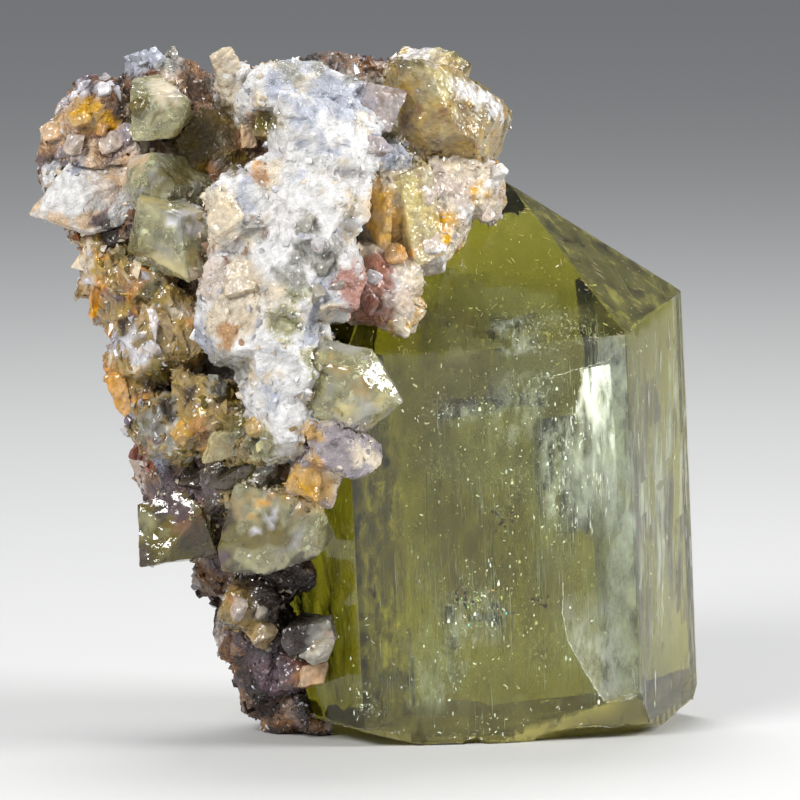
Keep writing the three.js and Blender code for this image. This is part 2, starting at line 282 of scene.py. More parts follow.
def add_lamps():
    world = bpy.data.worlds.new("studio")
    world.use_nodes = True
    world.node_tree.nodes["Background"].inputs["Color"].default_value = SKY_COLOUR
    world.node_tree.nodes["Background"].inputs["Strength"].default_value = SKY_STRENGTH
    bpy.context.scene.world = world
    for name, lamp in LAMPS.items():
        light = bpy.data.lights.new(name, "AREA")
        light.size = lamp["size"] * MM
        light.energy = lamp["watts"]
        holder = bpy.data.objects.new(name, light)
        place = Vector(lamp["at"])
        holder.location = place * MM
        holder.rotation_euler = (Vector(VIEW_CENTRE) - place).to_track_quat("-Z", "Y").to_euler()
        bpy.context.scene.collection.objects.link(holder)


add_floor()
add_lamps()
print("lamps:", ", ".join(LAMPS))

# %% [markdown]
# The large crystal has directions of its own: across its broad front face, back into it, and up its
# length. Points inside it are given along those, from the shoulder where the front and right faces meet
# the point, because its tubes and streaks follow them.

# %% Find the large crystal's own directions
SHOULDER = Vector((10.5, -12.7, 28.7))
CRYSTAL_TURN, LEAN_FORWARD, LEAN_LEFT = (math.radians(angle) for angle in (8.7, 8.9, 2.8))
crystal_axes = (
    Matrix.Rotation(-LEAN_LEFT, 3, "Y")
    @ Matrix.Rotation(LEAN_FORWARD, 3, "X")
    @ Matrix.Rotation(CRYSTAL_TURN, 3, "Z")
)
CRYSTAL_TURNS = np.array(crystal_axes)


def from_crystal(local):
    """Points given across, back and up the large crystal, in the specimen's frame."""
    return np.asarray(local) @ CRYSTAL_TURNS.T + np.array(SHOULDER)


def to_crystal(points):
    return (np.asarray(points) - np.array(SHOULDER)) @ CRYSTAL_TURNS


crystal_points, crystal_triangles = mesh_arrays(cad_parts["apatite_crystal"].data)
span = to_crystal(crystal_points)
print("crystal across, back and up:", np.ptp(span, axis=0).round(1))

# %% [markdown]
# Apatite is clear, so its colour lies inside: light loses blue and a little red on its way through.
# Volume Absorption does that by depth. The surface is smooth glass with apatite's own bending of light.
# Fine upright lines, a growth mark of prism faces, are a bump along the crystal, and soft patches of
# noise make it a little duller here and there.

# %% Mix the clear apatite finish
APATITE_BENDING = 1.634
APATITE_COLOUR = (0.79, 0.78, 0.33)
APATITE_DENSITY = 300  # a metre
SMOOTHEST, DULLEST = 0.0, 0.05
DULL_PATCHES = 260  # waves a metre
GROWTH_LINES = (2200, 2200, 60)  # waves a metre, across, back and up
LINE_STRENGTH, LINE_DEPTH = 0.08, 0.02


def noise_along(nodes, links, per_metre):
    """Noise that is stretched along the crystal's own directions."""
    place = nodes.new("ShaderNodeTexCoord")
    along = nodes.new("ShaderNodeMapping")
    along.inputs["Rotation"].default_value = crystal_axes.transposed().to_euler()
    along.inputs["Scale"].default_value = per_metre
    links.new(place.outputs["Object"], along.inputs["Vector"])
    noise = nodes.new("ShaderNodeTexNoise")
    noise.inputs["Scale"].default_value = 1
    noise.inputs["Detail"].default_value = 3
    links.new(along.outputs["Vector"], noise.inputs["Vector"])
    return noise


def clear_apatite(name):
    material, nodes, links, surface = node_material(name)
    surface.inputs["Base Color"].default_value = (1, 1, 1, 1)
    surface.inputs["Transmission Weight"].default_value = 1
    surface.inputs["IOR"].default_value = APATITE_BENDING
    absorb = nodes.new("ShaderNodeVolumeAbsorption")
    absorb.inputs["Color"].default_value = (*APATITE_COLOUR, 1)
    absorb.inputs["Density"].default_value = APATITE_DENSITY
    links.new(absorb.outputs["Volume"], nodes["Material Output"].inputs["Volume"])
    lines = noise_along(nodes, links, GROWTH_LINES)
    bump = nodes.new("ShaderNodeBump")
    bump.inputs["Strength"].default_value = LINE_STRENGTH
    bump.inputs["Distance"].default_value = LINE_DEPTH * MM
    links.new(lines.outputs["Fac"], bump.inputs["Height"])
    links.new(bump.outputs["Normal"], surface.inputs["Normal"])
    place = nodes.new("ShaderNodeTexCoord")
    patches = nodes.new("ShaderNodeTexNoise")
    patches.inputs["Scale"].default_value = DULL_PATCHES
    patches.inputs["Detail"].default_value = 2
    links.new(place.outputs["Object"], patches.inputs["Vector"])
    frost = nodes.new("ShaderNodeMapRange")
    frost.inputs["To Min"].default_value = SMOOTHEST
    frost.inputs["To Max"].default_value = DULLEST
    links.new(patches.outputs["Fac"], frost.inputs["Value"])
    links.new(frost.outputs["Result"], surface.inputs["Roughness"])
    return material


large_crystal_finish = clear_apatite("clear_apatite")
print("mixed", large_crystal_finish.name)

# %% [markdown]
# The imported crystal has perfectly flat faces. The real ones carry upright ridges a few hundredths of a
# millimetre high, and ridges need points to move. So the mesh is sliced along three upright planes and
# one level one into narrow strips, which is finer where it has to be than an even subdivision would be.
# Its long grown edges are rounded slightly, so that they catch the light.

# %% Slice the large crystal
WELD = 0.002
FLAT_WITHIN = math.radians(1)
GROWN_EDGE = 3  # the shortest edge that grew rather than broke
GROWN_ANGLE = math.radians(20)
GROWN_ABOVE = 6
EDGE_ROUND = 0.12
STRIP = 0.6
STEP_UP = 1.5
MIDDLE = (-8, 10, -12)  # of the crystal, in its own directions
HALF_WIDTH, HALF_HEIGHT = 18, 26
CUT_SHIFT = 0.37  # of a strip, which keeps the cuts off the crystal's own corners


def welded_shape(node):
    """A piece of the frame with the corners of its triangles joined."""
    shape = bmesh.new()
    shape.from_mesh(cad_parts[node].data)
    bmesh.ops.remove_doubles(shape, verts=shape.verts, dist=WELD * MM)
    return shape


def slice_mesh(shape, normal, spacing, reach):
    """Cuts the mesh along evenly spaced planes and keeps both sides."""
    for i in range(-int(reach / spacing), int(reach / spacing) + 1):
        everything = shape.verts[:] + shape.edges[:] + shape.faces[:]
        through = Vector(from_crystal(MIDDLE)) + normal * spacing * (i + CUT_SHIFT)
        bmesh.ops.bisect_plane(shape, geom=everything, dist=1e-9, plane_co=through * MM, plane_no=normal)


def is_grown(edge):
    """Whether an edge lies between two grown faces, and not on the broken base."""
    if edge.calc_length() <= GROWN_EDGE * MM or not edge.is_manifold:
        return False
    return edge.calc_face_angle() > GROWN_ANGLE and max(vert.co.z for vert in edge.verts) > GROWN_ABOVE * MM


def sliced_crystal():
    shape = welded_shape("apatite_crystal")
    bmesh.ops.dissolve_limit(shape, angle_limit=FLAT_WITHIN, verts=shape.verts, edges=shape.edges)
    grown = [edge for edge in shape.edges if is_grown(edge)]
    bmesh.ops.bevel(shape, geom=grown, offset=EDGE_ROUND * MM, segments=2, profile=0.5, affect="EDGES")
    for turn in (0, 60, 120):
        side = crystal_axes @ Vector((math.cos(math.radians(turn)), math.sin(math.radians(turn)), 0))
        slice_mesh(shape, side, STRIP, HALF_WIDTH)
    slice_mesh(shape, crystal_axes @ Vector((0, 0, 1)), STEP_UP, HALF_HEIGHT)
    bmesh.ops.triangulate(shape, faces=[face for face in shape.faces if len(face.verts) > 4])
    mesh = bpy.data.meshes.new("sliced")
    shape.to_mesh(mesh)
    shape.free()
    return mesh


crystal_mesh = sliced_crystal()
crystal_faces = [tuple(face.vertices) for face in crystal_mesh.polygons]
print("large crystal faces:", len(crystal_faces))

# %% [markdown]
# Now the points move in or out along their normals. Stretched noise makes the ridges, which are strongest
# on the right face, and gentle waves under them. The point's faces get low steps of their own. The broken
# base ripples like a shell, by the same relief that breaks up the rock.

# %% Give the large crystal its ridged faces
RIDGE = 0.05
BROAD_RIDGE, FINE_RIDGE = (0.9, 0.9, 30), (0.35, 0.35, 12)  # across, back and up
WAVE_HEIGHT, WAVE = 0.07, (3.5, 3.5, 9)
STEP_HEIGHT, POINT_STEP = 0.05, (1.2, 3, 3)
BREAK_TOP, BREAK_BLEND = 1.8, 0.6
BREAK_BLOCK, BREAK_RIPPLE = 2.2, 0.22
ON_FLOOR = 0.03  # below this the base stands flat


def ridged(mesh):
    """The sliced mesh's points, moved by ridges, waves, steps and the ripples of the break."""
    points, triangles = mesh_arrays(mesh)
    normals = merged_normals(points, triangles)
    local = to_crystal(points)
    rightward, upward = normals @ CRYSTAL_TURNS[:, 0], normals @ CRYSTAL_TURNS[:, 2]
    upright = 1 - np.abs(upward)
    ridges = soft_noise(local / BROAD_RIDGE, 1, 5) + 0.6 * soft_noise(local / FINE_RIDGE, 1, 6) - 0.8
    waves = soft_noise(local / WAVE, 1, 7) - 0.5
    steps = soft_noise(local / POINT_STEP, 1, 9) - 0.5
    on_right = 0.25 + 0.75 * ramp(rightward, 0.3, 0.7)
    move = RIDGE * on_right * upright * ridges + WAVE_HEIGHT * waves * (upright > 0.8)
    move = np.where(upward > 0.4, STEP_HEIGHT * steps, move)
    broken = np.clip((BREAK_TOP - points[:, 2]) / BREAK_BLEND, 0, 1) * (points[:, 2] > ON_FLOOR)
    hollow = np.clip(0.6 - crystal_relief(points, BREAK_BLOCK, 8), 0, 1)
    move = move * (1 - broken) - broken * BREAK_RIPPLE * hollow
    points = points + normals * move[:, None]
    points[:, 2] = np.maximum(points[:, 2], 0)
    return points


crystal_skin = ridged(crystal_mesh)
large_crystal = new_piece(
    "large_crystal", crystal_skin, crystal_faces, large_crystal_finish, sharp=24
)
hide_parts("apatite_crystal")
print("the faces moved by up to", np.abs(crystal_skin - mesh_arrays(crystal_mesh)[0]).max().round(2), "mm")

# %% [markdown]
# Small things that repeat, such as grains, needles and flakes, are copies of a few shapes. Each copy is
# stretched and turned differently and all are joined in one mesh, which renders faster than thousands
# of objects. The shapes are convex hulls: the tightest closed skin around a few points.

# %% Shape the grains
def hull(points):
    """The closed skin around some points, as its corners and triangles."""
    shape = bmesh.new()
    for point in points:
        shape.verts.new(point)
    bmesh.ops.convex_hull(shape, input=shape.verts[:])
    bmesh.ops.triangulate(shape, faces=shape.faces[:])
    loose = [vert for vert in shape.verts if not vert.link_faces]
    bmesh.ops.delete(shape, geom=loose, context="VERTS")
    shape.verts.index_update()
    corners = np.array([vert.co[:] for vert in shape.verts])
    triangles = np.array([[vert.index for vert in face.verts] for face in shape.faces])
    shape.free()
    return corners, triangles


def ring(count, radius, height):
    """The corners of an even ring."""
    angles = np.arange(count) * math.tau / count
    return [(radius * math.cos(angle), radius * math.sin(angle), height) for angle in angles]


def random_points(count, seed):
    spread = np.random.default_rng(seed).normal(size=(count, 3))
    return spread / np.linalg.norm(spread, axis=1, keepdims=True)


# Six-sided crystals, with the height of their shoulders and how far their points are off the middle.
POINTED = [
    hull(ring(6, 0.5, -0.8) + ring(6, 0.5, shoulder) + [(shift, 0, 1)])
    for shoulder, shift in [(0.45, 0.1), (0.2, -0.15)]
]
# Leaning boxes with one corner cut off.
BOX = list(itertools.product((-0.5, 0.5), repeat=3))
THICK_BOX = [(x + 0.3 * z, 0.7 * y + 0.15 * x, z) for x, y, z in BOX]
THIN_BOX = [(x, 0.45 * y + 0.25 * z, z + 0.2 * y) for x, y, z in BOX]
BLOCKS = [
    hull(THICK_BOX[:-1] + [(0.2, 0.1, 0.5), (0.6, 0.35, 0.1)]),
    hull(THIN_BOX[1:] + [(-0.2, -0.3, -0.5), (-0.55, -0.1, -0.1)]),
]
SHARD_CORNERS = [(6, 1), (7, 2), (8, 3), (9, 4), (7, 5)]  # how many corners a shard has, and its seed
SHARDS = [hull(0.6 * random_points(corners, seed)) for corners, seed in SHARD_CORNERS]
NEEDLE = [hull([(0, 0, -0.5), (0, 0, 0.5)] + ring(4, 1, 0))]
print("grain triangles:", [len(faces) for _, faces in POINTED + BLOCKS + SHARDS + NEEDLE])

# %% [markdown]
# Blender could draw the copies as instances, but the export needs real meshes. Thousands of copies are
# made at once by turning arrays: every chosen shape is stretched, turned and moved, and the numbers of
# its corners are shifted past those before it.

# %% Join many copies in one mesh
def joined_copies(shapes, places, rotations, scales, picks):
    """Copies of the shapes as one list of points, one of triangles and each point's copy number."""
    points, triangles, copies, used = [], [], [], 0
    for number, (corners, faces) in enumerate(shapes):
        chosen = np.nonzero(picks % len(shapes) == number)[0]
        moved = np.einsum("nij,nkj->nki", rotations[chosen], corners[None] * scales[chosen, None])
        moved += places[chosen, None]
        points.append(moved.reshape(-1, 3))
        starts = used + np.arange(len(chosen)) * len(corners)
        triangles.append((faces[None] + starts[:, None, None]).reshape(-1, 3))
        copies.append(np.repeat(chosen, len(corners)))
        used += len(chosen) * len(corners)
    return np.concatenate(points), np.concatenate(triangles), np.concatenate(copies)


def facing(directions, draw):
    """Rotations that stand a shape's length along the directions, spun freely about them."""
    side = np.cross(directions, draw.normal(size=directions.shape))
    side /= np.linalg.norm(side, axis=1, keepdims=True)
    return np.stack([side, np.cross(directions, side), directions], 2)


def leaning(outward, lean, draw):
    """Rotations that stand a shape's length along directions that lean from the outward ones."""
    tilted = outward + lean * draw.normal(size=outward.shape)
    return facing(tilted / np.linalg.norm(tilted, axis=1, keepdims=True), draw)


upward = np.tile((0.0, 0.0, 1.0), (3, 1))
print("a leaning grain's turns:", leaning(upward, 0.5, np.random.default_rng(1))[0].round(2).tolist())

# %% [markdown]
# Inside the crystal lie hundreds of hair-thin growth tubes along its length, glitter from healed cracks,
# dashes under its right faces, and a few dark specks. Each is real geometry sealed in the clear body,
# because a bright line that is only painted on a face would slide off the thing it belongs to in another
# view. The planes of the crystal's large faces tell which places lie inside it.

# %% Find the room inside the crystal
INSIDE_MARGIN = 0.35
LARGE_FACE = 6  # square millimetres


def growth_planes():
    """The crystal's large flat faces as outward directions and distances."""
    corner, arrows = triangle_arrows(crystal_points, crystal_triangles)
    doubled = np.linalg.norm(arrows, axis=1)
    large = doubled > 2 * LARGE_FACE
    normals = arrows[large] / doubled[large, None]
    return normals, (normals * corner[large, 0]).sum(1)


plane_normals, plane_reach = growth_planes()


def is_inside(points, margin=INSIDE_MARGIN):
    return ((points @ plane_normals.T - plane_reach) < -margin).all(1)


print("large triangles:", len(plane_reach), "middle inside:", is_inside(from_crystal([MIDDLE]))[0])

# %% [markdown]
# The small things inside take their colour from their tint. In the real crystal they scatter the light
# that comes through its faces. The renderer loses most of a lamp's light on its way into clear glass, so
# they would turn dark. A faint glow in the tint's own colour stands in for that scattered light.

# %% Mix the finish of the small bright things
PLAIN_WHITE = np.array((0.85, 0.95, 0.93))
FLAKE_GLOSS = 0.9


def tint_of(nodes):
    tint = nodes.new("ShaderNodeAttribute")
    tint.attribute_name = "tint"
    return tint


def glitter_finish(name, roughness, shine):
    material, nodes, links, surface = node_material(name)
    tint = tint_of(nodes)
    links.new(tint.outputs["Color"], surface.inputs["Base Color"])
    links.new(tint.outputs["Color"], surface.inputs["Emission Color"])
    surface.inputs["Emission Strength"].default_value = shine
    surface.inputs["Roughness"].default_value = roughness
    surface.inputs["Specular IOR Level"].default_value = FLAKE_GLOSS
    return material


glitter = glitter_finish("glitter", 0.25, 0)
sparks = glitter_finish("sparks", 0.15, 1.4)
soft_sparks = glitter_finish("soft_sparks", 0.15, 0.7)
dashes = glitter_finish("dashes", 0.3, 0.22)
print("mixed", ", ".join(finish.name for finish in (glitter, sparks, soft_sparks, dashes)))

# %% [markdown]
# A growth tube is a thin needle that stands along the crystal. Tubes come in bundles: their places are
# drawn evenly in a few boxes of the crystal's own directions, and soft noise that is stretched upward
# then thins them out between the bundles. A tube that would stick out of a face is left out.

# %% Grow the tubes
# Each box's low and high corner, across, back and up, and how many tubes are tried in it.
TUBE_BOXES = [
    ((-18, 0.4, -29), (-9, 5, -15), 600),
    ((-14, 0.4, -26), (-4, 7, -10), 400),
    ((-19, 0.4, -27), (4, 14, -2), 500),
    ((-4, 0.6, -27), (4, 8, -2), 600),
]
TRIES = 4  # draws for each tube that is wanted, because some land outside
TUBE_WIDTHS = (0.01, 0.035)
SHORTEST_TUBE = 0.4
BUNDLE, BUNDLE_STRETCH = 1.6, (1, 1, 2.5)
BUNDLE_EDGE = 0.55  # the noise above which tubes grow
END_MARGIN = 0.1


def inside_spots(boxes, draw):
    """Random points inside the crystal, a number of them in each box of its own directions."""
    spots = []
    for low, high, count in boxes:
        world = from_crystal(draw.uniform(low, high, size=(count * TRIES, 3)))
        spots.append(world[is_inside(world)][:count])
    return np.concatenate(spots)


def add_growth_tubes():
    draw = np.random.default_rng(11)
    spots = inside_spots(TUBE_BOXES, draw)
    count = len(spots)
    length = draw.gamma(1.5, 1.1, count) + SHORTEST_TUBE
    width = draw.uniform(*TUBE_WIDTHS, count)
    tints = PLAIN_WHITE * draw.uniform(0.6, 1, (count, 1))
    ends = from_crystal(to_crystal(spots) + np.array((0, 0, 1)) * length[:, None] / 2)
    bundled = soft_noise(to_crystal(spots) / BUNDLE_STRETCH, BUNDLE, 16) > BUNDLE_EDGE
    kept = bundled & is_inside(ends, END_MARGIN) & is_inside(2 * spots - ends, END_MARGIN)
    scales = np.stack([width, width, length], 1)[kept]
    rotations = np.broadcast_to(CRYSTAL_TURNS, (kept.sum(), 3, 3))
    points, faces, copies = joined_copies(NEEDLE, spots[kept], rotations, scales, np.zeros(kept.sum(), int))
    new_piece("growth_tubes", points, faces, glitter, tints[kept][copies])
    print("growth tubes:", kept.sum())


add_growth_tubes()

# %% [markdown]
# Healed cracks show as clusters of tiny flakes, with single bright sparks among them. Sizes are drawn
# with a high power, so that most flakes are dust and few are large, as in nature. Many stand along the
# crystal, because its cracks follow its own directions, and the rest lie any way. In one spot some flakes
# split the light, so they get rainbow colours.

# %% Scatter the glitter
# Clusters of glitter: the middle, how far they spread and how many flakes. The large sparks follow.
SPARK_CLUSTERS = [
    ((-12.4, 1.2, -4.6), (1.1, 0.5, 0.5), 60),
    ((-9.6, 1.4, -4.2), (2.2, 0.6, 1.2), 70),
    ((-6.8, 1.2, 0.1), (1, 0.5, 0.8), 40),
    ((-12.2, 1, 3), (0.5, 0.2, 0.6), 10),
    ((-4.6, 1.1, -7.5), (1.3, 0.7, 3), 260),
    ((-8.6, 1.2, -10.5), (1.8, 0.8, 2), 90),
    ((-11, 1.5, -18), (1.2, 0.8, 1.1), 150),
    ((-11.5, 1.5, -20), (3, 1, 2.6), 160),
    ((-14, 1.5, -23), (2.8, 1, 2.6), 200),
    ((-19, 1.5, -25.5), (0.8, 0.7, 0.8), 90),
    ((-8, 5, -12), (7, 4, 9), 1800),
    ((1.5, 4, -14), (2, 2, 8), 260),
    ((-9, 0.9, -27.4), (5, 0.5, 0.6), 220),
    ((-1, 0.8, -25.9), (1.2, 0.4, 0.3), 90),
]
# The large sparks glow brightly through their finish: painted glints.
BRIGHT_SPARKS = [
    (-7.6, 0.7, 0.2), (-6.0, 0.7, 0.1), (-12.2, 0.8, 3.2), (-11.1, 0.8, 2.1), (-8.7, 0.7, -9.9),
    (-8.3, 0.7, -9.0), (-11.3, 0.8, -18.3), (-10.4, 0.8, -17.2), (-12.6, 0.9, -19.6), (-14.9, 0.8, -21.0),
    (-16.6, 0.8, -23.8), (-9.8, 0.8, -4.2), (-12.6, 0.8, -4.4), (-14.0, 0.8, -5.2), (-5.4, 0.8, -13.2),
    (-7.4, 0.8, -20.4), (-2.2, 0.7, 0.9), (-3.4, 0.8, 1.8), (-9.0, 0.8, -14.0), (-13.4, 0.8, -13.2),
    (-4.6, 0.8, -19.2),
]
RAINBOW_MIDDLE, RAINBOW_RADIUS = (-10.5, 1.5, -19.5), 2.4
RAINBOW_SHARE = 0.4
LINED_UP_SHARE = 0.4
SMALLEST_FLAKE, FLAKE_RANGE = 0.05, 0.33
SPARK_SIZES = (0.16, 0.36)


def add_glitter():
    draw = np.random.default_rng(12)
    clusters = [np.array(c) + draw.normal(size=(n, 3)) * spread for c, spread, n in SPARK_CLUSTERS]
    spots = from_crystal(np.concatenate([BRIGHT_SPARKS, *clusters]))
    spots = spots[is_inside(spots)]
    count = len(spots)
    length = SMALLEST_FLAKE + FLAKE_RANGE * draw.uniform(size=count) ** 4
    length[:len(BRIGHT_SPARKS)] = draw.uniform(*SPARK_SIZES, len(BRIGHT_SPARKS))
    scales = np.stack([length * draw.uniform(0.2, 0.6, count), length * 0.15, length], 1)
    rotations = turns(draw.uniform(size=(count, 3)))
    rotations[draw.uniform(size=count) < LINED_UP_SHARE] = CRYSTAL_TURNS
    picks = draw.integers(0, 4, count)
    tints = PLAIN_WHITE * draw.uniform(0.6, 1, (count, 1))
    rainbow = np.linalg.norm(to_crystal(spots) - RAINBOW_MIDDLE, axis=1) < RAINBOW_RADIUS
    rainbow &= draw.uniform(size=count) < RAINBOW_SHARE
    tints[rainbow] = draw.uniform(0.1, 1, (rainbow.sum(), 3))
    points, faces, copies = joined_copies(SHARDS, spots, rotations, scales, picks)
    new_piece("crystal_glitter", points, faces, sparks, tints[copies])
    print("glitter flakes:", count)


add_glitter()

# %% [markdown]
# Short dashes lie just under three faces: pinkish ones across the sloping right face of the point, long
# pale ones up the right prism face, and golden crumbs under the front slope. Each group takes random
# places on its faces, sinks below them, and sways a little from its own direction.

# %% Draw the dashes under the faces
# Each group: how many, how long, their colour and how much they sway.
FACE_DASHES = {
    "sloping": (130, (0.15, 0.7), (0.9, 0.7, 0.62), 0.06),
    "upright": (110, (0.6, 3.4), (0.85, 0.8, 0.88), 0.04),
    "front_slope": (220, (0.1, 0.6), (0.75, 0.68, 0.48), 0.8),
}
DASH_DEPTHS = (0.18, 0.6)
DASH_MARGIN = 0.05
LONG_DASH = 0.9
DASH_THICKNESS = (0.025, 0.05, 0.13)  # the least, what chance adds, and what it adds to the long ones


def dash_groups(outward):
    """By group, which of the crystal's triangles its dashes lie under and which way they run there."""
    across, back, up = (outward @ CRYSTAL_TURNS[:, i] for i in range(3))
    return {
        "sloping": ((up > 0.3) & (across > 0.2), np.cross(outward, CRYSTAL_TURNS[:, 1])),
        "upright": ((np.abs(up) < 0.2) & (across > 0.5), np.tile(CRYSTAL_TURNS[:, 2], (len(up), 1))),
        "front_slope": ((up > 0.3) & (back < -0.5), np.cross(outward, CRYSTAL_TURNS[:, 0])),
    }


def add_face_dashes():
    draw = np.random.default_rng(15)
    corner, arrows = triangle_arrows(crystal_points, crystal_triangles)
    area = np.linalg.norm(arrows, axis=1)
    outward = arrows / area[:, None]
    groups = dash_groups(outward)
    places, ways, sizes, tints = [], [], [], []
    for name, (count, lengths, colour, sway) in FACE_DASHES.items():
        chosen, along = groups[name]
        picks = draw.choice(len(area), count, p=area * chosen / (area * chosen).sum())
        mix = draw.dirichlet((1, 1, 1), count)
        depth = draw.uniform(*DASH_DEPTHS, (count, 1))
        places.append((corner[picks] * mix[:, :, None]).sum(1) - outward[picks] * depth)
        ways.append(along[picks] + sway * draw.normal(size=(count, 3)))
        sizes.append(draw.uniform(*lengths, count))
        tints.append(np.array(colour) * draw.uniform(0.6, 1.1, (count, 1)))
    places, ways, sizes, tints = (np.concatenate(rows) for rows in (places, ways, sizes, tints))
    ways /= np.linalg.norm(ways, axis=1, keepdims=True)
    reach = 0.6 * ways * sizes[:, None]
    kept = is_inside(places + reach, DASH_MARGIN) & is_inside(places - reach, DASH_MARGIN)
    places, ways, sizes, tints = places[kept], ways[kept], sizes[kept], tints[kept]
    count = len(sizes)
    rotations = facing(ways, draw)
    least, more, extra = DASH_THICKNESS
    thick = least + more * draw.uniform(size=count) + extra * draw.uniform(size=count) * (sizes > LONG_DASH)
    scales = np.stack([thick, thick, sizes], 1)
    points, faces, copies = joined_copies(SHARDS, places, rotations, scales, draw.integers(0, 4, count))
    new_piece("face_dashes", points, faces, dashes, tints[copies])
    print("dashes:", count)


add_face_dashes()

# %% [markdown]
# The few dark specks are crumbs of another mineral that the crystal grew around. They sit in three loose
# groups behind the front face, and need no glow.

# %% Drop in the dark specks
# Each group: its middle, how many specks and how far they spread.
SPECK_GROUPS = [((-9.3, 1, -12.4), 14, 0.5), ((-12.1, 1, -18), 12, 0.45), ((-6.6, 1.2, -18.7), 8, 0.3)]
SPECK_SIZES = (0.12, 0.38)
SPECK_TINT = np.array((0.035, 0.03, 0.02))


def add_dark_specks():
    draw = np.random.default_rng(13)
    groups = [np.array(c) + draw.normal(size=(n, 3)) * (r, r * 0.5, r) for c, n, r in SPECK_GROUPS]
    places = from_crystal(np.concatenate(groups))
    count = len(places)
    scales = draw.uniform(*SPECK_SIZES, (count, 3))
    rotations = turns(draw.uniform(size=(count, 3)))
    points, faces, copies = joined_copies(SHARDS, places, rotations, scales, draw.integers(0, 4, count))
    tints = SPECK_TINT * draw.uniform(0.5, 2, (count, 1))
    new_piece("dark_specks", points, faces, glitter, tints[copies])
    print("specks:", count)


add_dark_specks()

# %% [markdown]
# Wider veils are thin sheets that hang in the crystal. Their finish is a film that shows only where a
# stretched noise is strong: long streaks for growth curtains, sharp ridges for what shows through the
# right face, soft clouds, and fine dots for healed cracks. As with the flakes, those that should look
# bright give off a faint light of their own.

# %% Mix the veil finishes
VEIL_DULLNESS = 0.5
VEIL_RAGGEDNESS = 0.65


def veil_finish(name, per_metre, faint, strong, shine=0):
    """A film: noise below faint shows nothing and noise above strong shows the full tint."""
    material, nodes, links, surface = node_material(name)
    tint = tint_of(nodes)
    links.new(tint.outputs["Color"], surface.inputs["Base Color"])
    links.new(tint.outputs["Color"], surface.inputs["Emission Color"])
    surface.inputs["Emission Strength"].default_value = shine
    surface.inputs["Roughness"].default_value = VEIL_DULLNESS
    streaks = noise_along(nodes, links, per_metre)
    streaks.inputs["Roughness"].default_value = VEIL_RAGGEDNESS
    contrast = nodes.new("ShaderNodeMapRange")
    contrast.inputs["From Min"].default_value = faint
    contrast.inputs["From Max"].default_value = strong
    links.new(streaks.outputs["Fac"], contrast.inputs["Value"])
    strength = nodes.new("ShaderNodeMath")
    strength.operation = "MULTIPLY"
    links.new(contrast.outputs["Result"], strength.inputs[0])
    links.new(tint.outputs["Alpha"], strength.inputs[1])
    links.new(strength.outputs["Value"], surface.inputs["Alpha"])
    return material


streaky_veil = veil_finish("streaky_veil", (1100, 1100, 170), 0.36, 0.68)
ridged_veil = veil_finish("ridged_veil", (1000, 1000, 100), 0.46, 0.58)
cloudy_veil = veil_finish("cloudy_veil", (900, 900, 420), 0.3, 0.7)
bright_veil = veil_finish("bright_veil", (2000, 2000, 300), 0.28, 0.55, 0.85)
chip_veil = veil_finish("chip_veil", (1300, 1300, 500), 0.3, 0.6, 0.2)
glow_veil = veil_finish("glow_veil", (1700, 1700, 700), 0.42, 0.72, 0.3)
fingerprint_veil = veil_finish("fingerprint_veil", (5200, 5200, 2600), 0.5, 0.72, 0.25)
base_veil = veil_finish("base_veil", (900, 900, 420), 0.1, 0.45, 0.12)
print("mixed", ", ".join(name for name in bpy.data.materials.keys() if name.endswith("veil")))

# %% [markdown]
# The veils follow what can be seen through the front face: milky and pale green curtains at the right,
# darker olive clouds that give the upper and middle parts their depth, deep olive sheets of painted shade
# behind them, glowing patches of painted light where a healed crack faces the viewer, and two olive
# strips of painted shade that hide a mirror image on the crystal's far side. They are placed one by one,
# in the crystal's own directions, because each large one has its place in the photo.

# %% List the veils
# Each veil: its middle, the heading of its width in degrees from the front face, its width, height and
# strength, how far it tilts out of upright in degrees, and its colour.
MILKY, PALE_GREEN, SAGE = (0.84, 0.92, 0.83), (0.7, 0.77, 0.42), (0.56, 0.62, 0.35)
OLIVE, BROWN_OLIVE, YELLOW_OLIVE = (0.3, 0.31, 0.09), (0.26, 0.2, 0.07), (0.4, 0.37, 0.07)
# The deep olive sheets and the dark and olive strips are painted shade, darkening what shows through.
DEEP_OLIVE = (0.11, 0.09, 0.012)
DARK_STRIP, OLIVE_STRIP, LIGHT_STRIP = (0.22, 0.19, 0.01), (0.3, 0.28, 0.02), (0.42, 0.38, 0.03)
STREAKY_VEILS = [
    ((-5.6, 1.6, -10.5), -15, 4.5, 9, 0.5, 14, PALE_GREEN),
    ((-0.9, 0.5, -10), 4, 2.4, 19, 0.9, 0, MILKY),
    ((-1.0, 0.9, -19), 6, 2.6, 16, 0.9, 0, SAGE),
    ((-3.6, 2.4, -16), 14, 6.5, 22, 0.6, 3, PALE_GREEN),
    ((-4.6, 4.4, -14), 10, 8, 24, 0.5, -3, SAGE),
    ((-17.4, 0.7, -14), 0, 3.4, 30, 0.9, 0, DARK_STRIP),
    ((-20.7, 4.2, -15), -60, 7, 30, 1.0, 0, DEEP_OLIVE),
    ((-22.0, 8.0, -13), -60, 6, 28, 1.0, 0, DEEP_OLIVE),
    ((-15.6, 1.2, -22.6), 4, 6, 11, 0.6, 0, PALE_GREEN),
    ((-12, 3.4, -23), -10, 8, 9, 0.5, 6, PALE_GREEN),
    ((-12.5, 1.6, -20), 0, 6, 12, 0.4, 2, PALE_GREEN),
]
